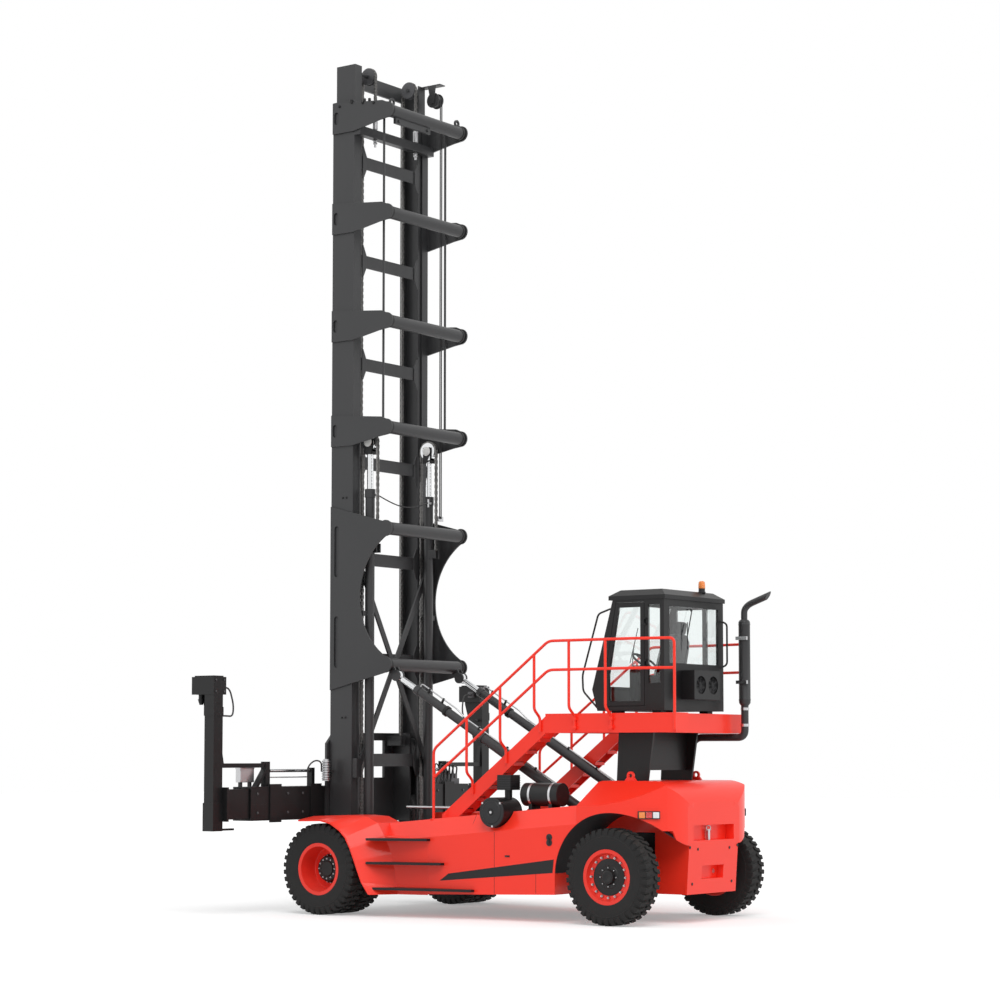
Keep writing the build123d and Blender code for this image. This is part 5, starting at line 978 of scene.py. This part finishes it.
# %% Arch liners
arch_middle_x, arch_middle_z = -4.926, 0.685
liner_inner_y, liner_radius, liner_back = 0.70, 0.8955, 0.8990
arch_turn = np.radians(np.linspace(2, 148, 40))[:, None]
flank_x, flank_y = [4.5, 4.8, 5.16, 5.4, 5.6, 5.69], [1.592, 1.565, 1.442, 1.282, 1.07, 0.86]
outer_y = np.interp(-(arch_middle_x + liner_radius * np.cos(arch_turn)), flank_x, flank_y)
inner_y = np.full_like(outer_y, liner_inner_y)
section_radius = np.array((liner_radius, liner_radius, liner_back, liner_back))
liner = np.stack([arch_middle_x + section_radius * np.cos(arch_turn),
                  np.concatenate([inner_y, outer_y, outer_y, inner_y], axis=1),
                  arch_middle_z + section_radius * np.sin(arch_turn)], axis=-1)
put("arch_liners", ahead(both([lofted(liner)])), moulded_plastic, "chassis")
print("arch liners of", len(liner), "sections")

# %% [markdown]
# ## Tail
# The counterweight's tail has cast plugs and a towing pin. Each corner has three lenses in a bezel that
# is turned along the flank, so the boxes are drawn in the lamp's own frame and swung into place. A
# beacon stands on the cab roof.

# %% Tail
tail_x = -5.715
plugs = [(tail_x + 0.003, 0.66, 1.09), (tail_x + 0.040, 0.55, 0.57), (tail_x + 0.006, 0.44, 1.06)]
put("tail_plugs", ahead(both([bolt_heads(plugs, 0.022, 0.008, (-1, 0, 0))])), black_paint, "chassis")
pin_x = -5.62
pin_handle = [(pin_x, -0.055, 1.330), (pin_x, -0.055, 1.385), (pin_x, 0.055, 1.385), (pin_x, 0.055, 1.330)]
plug_profile = [(0, 0), (0, 0.034), (0.028, 0.034), (0.034, 0.026), (0.034, 0)]
tow = [tube([(pin_x, 0, 1.00), (pin_x, 0, 1.335)], 0.026, 20), tube(bent(pin_handle, 0.05), 0.008),
       tube([(pin_x, -0.062, 1.325), (pin_x, 0.062, 1.325)], 0.011),
       *both([lathe(plug_profile, 24, (-5.578, 0.205, 0.725), axis=0)])]
put("tow_pin", ahead(tow), zinc, "chassis")

flank_turn = np.radians(38)
along = np.array((np.cos(flank_turn), np.sin(flank_turn), 0))
outward = np.array((-np.sin(flank_turn), np.cos(flank_turn), 0))
lamp_middle = np.array((tail_x + 0.312, 1.262, 1.555))
lamp_frame = np.stack([along, outward, (0, 0, 1)], axis=1)


def on_flank(low, high):
    """Box in the lamp's own frame: along the flank, outwards and up."""
    return repeat(box_between(low, high), [lamp_middle], lamp_frame)


bezel = [on_flank((-0.158, -0.036, -0.0555), (0.158, 0.0425, 0.0555))]
put("lamp_bezels", ahead(both(bezel)), moulded_plastic, "chassis", replaced=["lamps"], bevel=0.006)
lens_rows = (("amber", amber_lens, 0.100), ("red", red_lens, 0.0), ("clear", clear_lens, -0.100))
for name, finish, place in lens_rows:
    lens = on_flank((place - 0.044, 0.040, -0.042), (place + 0.044, 0.050, 0.042))
    put(f"tail_lamps_{name}", ahead(both([lens])), finish, "chassis", bevel=0.004)
beacon_middle = (-5.28, -0.42, 0)
foot_profile = [(4.785, 0), (4.785, 0.058), (4.800, 0.058), (4.806, 0.048), (4.852, 0.048), (4.852, 0)]
lens_profile = [(4.850, 0), (4.850, 0.050), (4.858, 0.052), (4.930, 0.049), (4.950, 0.042), (4.960, 0.026),
                (4.960, 0)]
put("beacon_foot", ahead([lathe(foot_profile, 32, beacon_middle, axis=2)]), moulded_plastic, "chassis")
put("beacon_lens", ahead([lathe(lens_profile, 40, beacon_middle, axis=2)]), amber_lens, "chassis")
print("tail: bezels with", len(lens_rows), "lenses and a beacon")

# %% [markdown]
# ## Stairs and handrails
# The rails are drawn again as tubes with round bends. Each run is a list of corners, and every corner
# becomes an arc. The posts start at the deck's edge, step outwards by 0.15 m and rise to the top rail,
# as on the stair.

# %% Stairs and handrails
def stair_line(x):
    """Height of the stair's slope at a place along it."""
    return 1.470 - 0.75135 * (x + 1.750)


rail_y, post_y, rail_radius, rail_sides = 1.385, 1.236, 0.021, 14
rail_foot, rail_bend, rail_foot_z, deck_z = -1.690, -3.775, 1.445, 2.76
top_rise, middle_rise, top_z, middle_z = 1.060, 0.640, 4.05, 3.63
stair_posts, deck_posts = (-2.300, -2.910, -3.520), (-4.130, -4.760)


def rail_run(side, rear, rise, level):
    """One rail from the stair's foot to the platform's rear corner, where it draws in to the edge."""
    return [(rail_foot, side * rail_y, stair_line(rail_foot) + rise), (rail_bend, side * rail_y, level),
            (rear + 0.62, side * rail_y, level), (rear, side * post_y, level)]


def rail(corners):
    """Rail tube through corners with round bends."""
    return tube(bent(corners, 0.08, 8), rail_radius, rail_sides)


def post(x, side, low, top):
    """Post that starts at the inner edge, steps out to the rail's line and rises to the rail."""
    corners = [(x, side * post_y, low), (x, side * post_y, low + 0.20), (x, side * rail_y, low + 0.32),
               (x, side * rail_y, top)]
    return tube(bent(corners, 0.05, 6), rail_radius, rail_sides)


rails = []
for side, rear in ((1, -5.825), (-1, -5.480)):
    foot = [(rail_foot, side * rail_y, rail_foot_z)]
    down = [(rear, side * post_y, deck_z)]
    rails.append(rail(foot + rail_run(side, rear, top_rise, top_z) + down))
    rails.append(rail(rail_run(side, rear, middle_rise, middle_z)))
    rails += [post(x, side, deck_z, top_z) for x in deck_posts]
    rails += [post(x, side, stair_line(x) - 0.06, stair_line(x) + top_rise) for x in stair_posts]
put("rail_tubes", ahead(rails), red_paint, "chassis", replaced=["handrails"])

clips = [box_between((x - 0.034, 1.214, z - 0.02), (x + 0.034, 1.262, z + 0.02))
         for x in deck_posts for z in (2.80, 2.92)]
foot_plate = [(1.430, 0), (1.430, 0.055), (1.455, 0.055), (1.455, 0)]
clips.append(lathe(foot_plate, 24, (rail_foot, rail_y, 0), axis=2))
put("rail_clips", ahead(both(clips)), red_paint, "chassis", bevel=0.003)

step_count, step_pitch, rib_count, rib_pitch = 7, 0.23125, 9, 0.028
tread_tops = []
for step in range(step_count):
    x = -1.750 - step_pitch * step
    z = stair_line(x) - 0.045
    tread_tops.append(box_between((x - 0.128, 0.948, z - 0.001), (x + 0.109, 1.202, z + 0.004)))
    for rib in range(rib_count):
        tread_tops.append(box_between((x - 0.12 + rib_pitch * rib, 0.955, z),
                                      (x - 0.112 + rib_pitch * rib, 1.195, z + 0.008)))
put("stair_treads", ahead(both(tread_tops)), moulded_plastic, "chassis")
print("rails, and treads on", step_count, "steps a side")

# %% [markdown]
# ## Exhaust
# The silencer is turned about its own axis, with rolled ends and two clamps. Its tail pipe bends to the
# rear and the lower pipe turns under the platform towards the engine.

# %% Exhaust
pipe_x, pipe_y = -5.660, -1.000
tail_radius, low_radius, tip_slant = 0.048, 0.055, 1.2
silencer = [(3.130, 0), (3.130, 0.058), (3.150, 0.074), (3.172, 0.086), (3.200, 0.086), (3.206, 0.089),
            (3.222, 0.089), (3.228, 0.086), (4.318, 0.086), (4.324, 0.089), (4.340, 0.089), (4.346, 0.086),
            (4.368, 0.086), (4.390, 0.072), (4.402, 0.058), (4.402, 0)]
tail_pipe = bent([(pipe_x, pipe_y, 4.39), (pipe_x, pipe_y, 4.60), (-6.070, pipe_y, 4.745)], 0.16, 12)
low_pipe = bent([(pipe_x, pipe_y, 3.15), (pipe_x, pipe_y, 2.66), (-4.80, pipe_y, 2.66), (-4.72, -0.90, 2.40),
                 (-4.72, -0.90, 1.95)], 0.12, 10)

# The tip is cut on a slant: points near it slide along the pipe by a share of their height across it
tail_points, tail_faces = tube(tail_pipe, tail_radius, 28)
tail_way = (tail_pipe[-1] - tail_pipe[-2]) / np.linalg.norm(tail_pipe[-1] - tail_pipe[-2])
tail_up = np.array((tail_way[2], 0, -tail_way[0]))
at_tip = tail_points[:, 0] < tail_pipe[-1, 0] + 0.06
tail_points[at_tip] += tip_slant * ((tail_points[at_tip] - tail_pipe[-1]) @ tail_up)[:, None] * tail_way
exhaust = [lathe(silencer, 48, (pipe_x, pipe_y, 0), axis=2), (tail_points, tail_faces),
           tube(low_pipe, low_radius, 28)]
put("exhaust_pipes", ahead(exhaust), charcoal_paint, "chassis", replaced=["exhaust_stack"])


def band(low, high, inner, outer):
    """Closed ring profile between two places along an axis and two radii."""
    return [(low, inner), (low, outer), (high, outer), (high, inner), (low, inner)]


clamps = [lathe(band(z - 0.02, z + 0.02, 0.056, 0.063), 36, (pipe_x, pipe_y, 0), axis=2)
          for z in (2.84, 3.08)]
clamps += [box_between((pipe_x - 0.09, pipe_y + 0.06, z), (pipe_x + 0.09, pipe_y + 0.105, z + 0.05))
           for z in (3.45, 4.10)]
put("exhaust_clamps", ahead(clamps), zinc, "chassis")
print("exhaust bent, with", len(clamps), "clamps")

# %% [markdown]
# ## Seat
# The seat's cushions are crowned forms: a rounded box whose points are x = a sign(c)|c|^p along each
# axis, with a low power so that the faces stay full and the edges round. A bellows hides the
# suspension under the seat: a turned profile that goes in and out at each fold.

# %% Seat
def cushion(middle, half, tilt=0.0, power=0.42, rows=30, columns=40):
    """Rounded box: a sphere's sines and cosines drawn out by a power below one, then tilted about y."""
    def drawn(value):
        return np.sign(value) * np.abs(value) ** power

    up, turn = np.meshgrid(np.linspace(-np.pi / 2, np.pi / 2, rows),
                           np.linspace(0, 2 * np.pi, columns, endpoint=False), indexing="ij")
    round_up = drawn(np.cos(up))
    points = np.stack([round_up * drawn(np.cos(turn)), round_up * drawn(np.sin(turn)),
                       drawn(np.sin(up))], -1)
    points = points.reshape(-1, 3) * half
    lean = np.radians(tilt)
    turned = np.array([[np.cos(lean), 0, np.sin(lean)], [0, 1, 0], [-np.sin(lean), 0, np.cos(lean)]])
    return points @ turned.T + middle, [grid_faces(rows, columns, wrap_columns=True)]


back_tilt = -10.5
seat_parts = [cushion((-4.83, 0, 3.475), (0.25, 0.25, 0.075))]
seat_parts += [cushion((-4.83, y, 3.500), (0.22, 0.045, 0.065)) for y in (0.215, -0.215)]
seat_parts.append(cushion((-5.080, 0, 3.845), (0.065, 0.235, 0.325), back_tilt))
seat_parts += [cushion((-5.070, y, 3.830), (0.075, 0.050, 0.270), back_tilt) for y in (0.195, -0.195)]
seat_parts.append(cushion((-5.150, 0, 4.250), (0.045, 0.140, 0.095), back_tilt))
seat = put("seat_cushions", ahead(seat_parts), seat_fabric, "chassis", replaced=["operator_seat"], sharp=80)

fold_count, fold_pitch = 5, 0.06
bellows = [(3.078, 0), (3.078, 0.165)]
for fold in range(fold_count):
    bellows += [(3.10 + fold_pitch * fold, 0.150), (3.13 + fold_pitch * fold, 0.168)]
bellows += [(3.412, 0.150), (3.412, 0)]
seat_base = [lathe(bellows, 40, (-4.86, 0, 0), axis=2),
             box_between((-5.04, -0.19, 3.395), (-4.66, 0.19, 3.420))]
seat_base += [tube([(-5.130, y, 4.10), (-5.150, y, 4.22)], 0.008) for y in (0.06, -0.06)]
put("seat_suspension", ahead(seat_base), moulded_plastic, "chassis")
print("seat of", len(seat_parts), "cushions")

# %% [markdown]
# ## Cab rails and wipers
# Bent grab rails stand beside the door and at the rear corner. A wiper is an arm, a blade and a hub,
# each a short tube; the front one leans with the windscreen, so its feet are found from the screen's
# slope.

# %% Cab rails and wipers
screen_run, screen_rise = 0.36, 1.29


def front_x(z):
    """Sloping windscreen: its x at a height above the sill."""
    return -4.160 - screen_run * (z - 3.35) / screen_rise


grab = [(-4.470, 0.80, 4.520), (-4.290, 0.85, 4.450), (-4.010, 0.85, 3.560), (-4.020, 0.85, 3.330),
        (-4.230, 0.80, 3.090)]
rear_grab = [(-5.39, -0.74, 4.38), (-5.48, -0.80, 4.34), (-5.48, -0.80, 3.73), (-5.39, -0.74, 3.68)]
grabs = [tube(bent(path, 0.05, 8), 0.014, 14) for path in (grab, rear_grab)]
put("cab_grab_rails", ahead(grabs), black_paint, "chassis")

# Rows: foot and tip of the arm, half length of the blade, lean of the blade, depth of the hub
front_wiper = ((front_x(3.44) + 0.022, -0.20, 3.44), (front_x(4.02) + 0.030, -0.06, 4.02), 0.26,
               screen_run / screen_rise, 0.02)
rear_wiper = ((-5.425, 0.10, 4.50), (-5.432, 0.24, 4.12), 0.20, 0.0, -0.02)
wipers = []
for foot, tip, blade, lean, hub_depth in (front_wiper, rear_wiper):
    wipers.append(tube([foot, tip], 0.008))
    low = np.array(tip) + (lean * blade, 0, -blade)
    high = np.array(tip) + (-lean * blade, 0, blade)
    wipers.append(tube([low, high], 0.007))
    wipers.append(tube([np.array(foot) - (hub_depth, 0, 0), foot], 0.018))
put("cab_wipers", ahead(wipers), moulded_plastic, "chassis")
print("cab rails:", len(grabs), "and two wipers")

# %% [markdown]
# ## Condenser fans
# Two fans draw air through the box behind the cab. Each has a turned hub, seven pitched blades and a
# guard of three rings on three spokes, so blades and spokes are loops over the turn.

# %% Condenser fans
fan_z, blade_x, guard_x, guard_wire, blade_count = 3.41, -5.606, -5.619, 0.003, 7
hub_profile = [(-5.612, 0), (-5.612, 0.034), (-5.560, 0.040), (-5.560, 0)]
blade_corners = ((0.036, -0.18), (0.122, -0.20), (0.122, 0.24), (0.036, 0.22))
guard_turn = np.linspace(0, 2 * np.pi, 41)
fans = []
for y in (-0.17, 0.17):
    fans.append(lathe(hub_profile, 24, (0, y, fan_z), axis=0))
    for blade in np.radians(np.arange(0, 360, 360 / blade_count)):
        front_face = []
        for place, (radius, swing) in enumerate(blade_corners):
            front_face.append((blade_x + 0.020 * (place > 1), y + radius * np.cos(blade + swing),
                               fan_z + radius * np.sin(blade + swing)))
        fans.append(lofted([front_face, np.array(front_face) + (0.004, 0, 0)]))
    for radius in (0.060, 0.095, 0.132):
        ring = np.stack([np.full_like(guard_turn, guard_x), y + radius * np.cos(guard_turn),
                         fan_z + radius * np.sin(guard_turn)], 1)
        fans.append(tube(ring, guard_wire, 6))
    for spoke in np.radians((30, 150, 270)):
        tip = (guard_x, y + 0.135 * np.cos(spoke), fan_z + 0.135 * np.sin(spoke))
        fans.append(tube([(guard_x, y, fan_z), tip], guard_wire, 6))
put("condenser_fans", ahead(fans), moulded_plastic, "chassis")
print("fans of", blade_count, "blades")

# %% [markdown]
# ## Spreader beam
# The beam's rear face has rows of bolts and a weld line. A chrome ram with a thin rod under it lies on
# top of each half, and a grey terminal box stands at the left end. They are boxes, tubes and hexagons,
# drawn on one side and mirrored where the machine has both.

# %% Spreader beam
beam_x, beam_proud = 0.722, 0.001
ram_x, ram_z, rod_x, rod_z = 0.8825, 2.160, 0.90, 2.06
beam_bolts = [(beam_x - beam_proud, y, z) for y in (1.55, 1.90, 2.25, 2.60) for z in (1.529, 1.815)]
put("beam_bolts", ahead(both([bolt_heads(beam_bolts, 0.020, 0.014, (-1, 0, 0))])), cast_metal, "carriage")
weld_line = [box_between((beam_x - 0.002, 1.10, 1.652), (beam_x + beam_proud, 2.74, 1.660))]
put("beam_weld", ahead(both(weld_line)), black_paint, "carriage")
boxes = [box_between((0.96, 2.41, 1.985), (1.06, 2.72, 2.200)),
         box_between((0.955, 2.405, 2.190), (1.065, 2.725, 2.210))]
put("terminal_box", ahead(boxes), zinc, "carriage", bevel=0.006)
legs = [box_between((0.985, y, 1.915), (1.035, y + 0.04, 1.988)) for y in (2.44, 2.65)]
put("terminal_legs", ahead(legs), charcoal_paint, "carriage")
rams = [tube([(ram_x, 1.22, ram_z), (ram_x, 2.15, ram_z)], 0.027, 20),
        tube([(rod_x, 1.25, rod_z), (rod_x, 2.17, rod_z)], 0.010)]
put("guide_rams", ahead(both(rams)), chrome, "carriage")
print("beam with", 2 * len(beam_bolts), "bolts")

# %% [markdown]
# ## Ribbed column and valve bank
# A ribbed column stands by the carriage, a turned profile that steps out at each rib, with an arm and a
# hose. The right half carries a bank of valves whose pipes bend over and down. The photograph shows
# little of either, so both are kept plain.

# %% Ribbed column and valve bank
column_x, column_y, rib_count, rib_pitch = 0.600, 1.135, 8, 0.038
column = [(2.000, 0), (2.000, 0.062), (2.012, 0.062)]
for rib in range(rib_count):
    low = 2.015 + rib_pitch * rib
    column += [(low, 0.052), (low + 0.008, 0.068), (low + 0.026, 0.068), (low + 0.034, 0.052)]
column += [(2.330, 0.050), (2.340, 0.040), (2.340, 0)]
put("ribbed_column", ahead([lathe(column, 32, (column_x, column_y, 0), axis=2)]), zinc, "carriage")
arm = [box_between((0.585, 1.085, 2.120), (0.615, 1.110, 2.180)),
       box_between((0.585, 0.985, 2.140), (0.700, 1.090, 2.160))]
put("column_arm", ahead(arm), charcoal_paint, "carriage")
column_hose = bent([(0.640, 1.20, 2.14), (0.640, 1.20, 2.30), (0.700, 1.30, 2.32), (0.800, 1.34, 2.22),
                    (0.800, 1.34, 1.92)], 0.07, 10)
put("column_hose", ahead([tube(column_hose, 0.012)]), hose_rubber, "carriage")

bank = [box_between((0.80, -2.60, 1.915), (1.00, -2.08, 2.010))]
bank += [box_between((0.82, y, 2.005), (0.98, y + 0.07, 2.090)) for y in (-2.57, -2.47, -2.37, -2.27, -2.17)]
put("valve_bank", ahead(bank), cast_metal, "carriage", bevel=0.004)
bank_pipes = []
for place, y in enumerate((-2.54, -2.44, -2.34, -2.24, -2.14)):
    high = 2.20 + 0.035 * (place % 3)
    rear_way = [(0.82, y, 2.08), (0.80, y, high), (0.76 - 0.01 * place, y + 0.16, high + 0.02),
                (0.78, y + 0.22, 1.93)]
    front_way = [(0.96, y, 2.08), (0.96, y, high + 0.03), (0.98, y - 0.12, high), (0.98, y - 0.16, 1.93)]
    for way, radius in ((rear_way, 0.013), (front_way, 0.011)):
        bank_pipes.append(tube(bent(way, 0.06, 8), radius))
put("valve_pipes", ahead(bank_pipes), hose_rubber, "carriage")
print("valve bank with", len(bank_pipes), "pipes")

# %% [markdown]
# ## Tower heads
# Each tower head has a valve, four bolts and a hose that loops from the valve back to the tower. The
# loop hangs free between two fittings. Its corners are listed and rounded, and the right side is the
# left side's mirror image.

# %% Tower heads
loop_diameter = 0.026
loop_corners = [(0.98, 3.115, 3.42), (0.98, 2.96, 3.40), (0.96, 2.89, 3.15), (0.94, 2.93, 2.98),
                (0.92, 3.09, 2.985), (0.92, 3.225, 2.985)]
valve = [box_between((0.93, 3.150, 3.37), (1.03, 3.215, 3.47)),
         tube([(0.98, 3.10, 3.42), (0.98, 3.16, 3.42)], 0.026, 20),
         tube([(0.92, 3.21, 2.985), (0.92, 3.285, 2.985)], 0.018, 16)]
head_places = [(0.822, y, z) for y in (3.26, 3.44) for z in (3.35, 3.52)]
bolts = [bolt_heads(head_places, 0.016, 0.012, (-1, 0, 0))]
for side, way in (("left", 1), ("right", -1)):
    body = f"spreader_{side}"
    loop_way = bent(loop_corners, 0.10, 10)
    shapes = [valve, bolts, [tube(loop_way, loop_diameter / 2)]]
    if way < 0:
        shapes = [mirror_y(group) for group in shapes]
        loop_way = loop_way * [1, -1, 1]
    put(f"head_valve_{side}", ahead(shapes[0]), cast_metal, body, bevel=0.003)
    put(f"head_bolts_{side}", ahead(shapes[1]), cast_metal, body)
    loop = put(f"head_hose_{side}", ahead(shapes[2]), hose_rubber, body)
print("loops of", round(length_of(loop_way), 3), "m at the tower heads")

# %% [markdown]
# ## Tilt cylinders
# The barrels' front halves are hollow sleeves round the rods, with a gland, a ring and a steel pipe on
# clips. Points along a cylinder are body pin + s x direction, so each ring is a turned profile swung to
# the cylinder's slope.

# %% Tilt cylinders
body_pin, mast_pin = np.array((-4.050, 0, 1.560)), np.array((-0.560, 0, 3.620))
tilt_y, gland, sleeve_foot = 0.815, 3.640, 2.20
tilt_length = np.linalg.norm(mast_pin - body_pin)
tilt_way = (mast_pin - body_pin) / tilt_length
tilt_up = np.array((-tilt_way[2], 0, tilt_way[0]))
tilt_frame = np.stack([tilt_way, (0, 1, 0), tilt_up], axis=1)


def along_tilt(profile, segments=40):
    """Profile of (distance from the body pin, radius) turned about the left cylinder's axis."""
    return repeat(lathe(profile, segments, axis=0), [body_pin + (0, tilt_y, 0)], tilt_frame)


def tilt_point(distance, rise):
    """Point at a distance from the body pin and a rise above the left cylinder's axis."""
    return body_pin + tilt_way * distance + tilt_up * rise + (0, tilt_y, 0)


sleeve = [(sleeve_foot, 0.046), (sleeve_foot, 0.066), (gland - 0.09, 0.066), (gland - 0.09, 0.074),
          (gland - 0.01, 0.074), (gland, 0.068), (gland, 0.046), (sleeve_foot, 0.046)]
rings = [along_tilt(band(place, place + 0.05, 0.060, 0.082)) for place in (2.93, 2.21)]
put("tilt_sleeves", ahead(both([along_tilt(sleeve)])), charcoal_paint, "tilt_barrel_pair")
put("tilt_rings", ahead(both(rings)), black_paint, "tilt_barrel_pair")
pipe_corners = [tilt_point(gland - 0.06, 0.050), tilt_point(gland - 0.06, 0.125), tilt_point(2.80, 0.125),
                tilt_point(2.60, 0.085), tilt_point(0.40, 0.095)]
pipes = [tube(bent(pipe_corners, 0.05, 8), 0.011)]
put("tilt_pipes", ahead(both(pipes)), zinc, "tilt_barrel_pair")
# Rows: distance along the cylinder, foot and head of a clip above its axis
clip_rows = ((3.40, 0.055, 0.140), (3.10, 0.055, 0.140), (2.30, 0.060, 0.112), (1.70, 0.060, 0.112),
             (1.10, 0.060, 0.112))
clips = [tube([tilt_point(place, foot), tilt_point(place, head)], 0.020, 8)
         for place, foot, head in clip_rows]
put("tilt_clips", ahead(both(clips)), black_paint, "tilt_barrel_pair")
print("tilt cylinders", round(float(tilt_length), 3), "m between pins")

# %% [markdown]
# ## Deck and engine fittings
# A bright bar stands over the deck. Beside the engine are the air cleaner's round cover with its
# latches, the louvres of its intake and the straps of the oil tank: turned profiles and rows of boxes.

# %% Deck and engine fittings
deck_bar = [tube([(-0.66, 0.70, 1.60), (-1.90, 0.70, 1.60)], 0.024, 16)]
put("deck_bar", ahead(deck_bar), zinc, "chassis")
bar_feet = [box_between((x, 0.68, 1.38), (x + 0.03, 0.72, 1.585)) for x in (-0.80, -1.70)]
put("deck_bar_feet", ahead(bar_feet), black_paint, "chassis")

cleaner_x, cleaner_z, latch_circle = -2.950, 1.570, 0.205
cover = [(1.628, 0.0), (1.628, 0.190), (1.640, 0.216), (1.652, 0.216), (1.660, 0.205), (1.660, 0.170),
         (1.672, 0.160), (1.672, 0.060), (1.664, 0.052), (1.664, 0.0)]
put("cleaner_cover", ahead([lathe(cover, 64, (cleaner_x, 0, cleaner_z))]), moulded_plastic, "chassis")
latches = [tube([(cleaner_x, 1.66, cleaner_z), (cleaner_x, 1.682, cleaner_z)], 0.022, 6)]
for turn in np.radians((40, 140, 265)):
    place = np.array((cleaner_x + latch_circle * np.cos(turn), 1.66,
                      cleaner_z + latch_circle * np.sin(turn)))
    latches.append(box_between(place - (0.014, 0.06, 0.014), place + (0.014, 0.008, 0.014)))
put("cleaner_latches", ahead(latches), zinc, "chassis", bevel=0.002)
louvres = [box_between((-3.134, 1.186, z), (-2.886, 1.434, z + 0.014)) for z in np.arange(1.92, 2.09, 0.034)]
put("intake_louvres", ahead(louvres), moulded_plastic, "chassis")
tank_axis = (0, 1.205, 1.826)
straps = [lathe(band(x, x + 0.035, 0.168, 0.174), 48, tank_axis, axis=0) for x in (-3.78, -3.42)]
put("tank_straps", ahead(straps), zinc, "chassis")
print("louvres:", len(louvres), "and", len(straps), "straps")
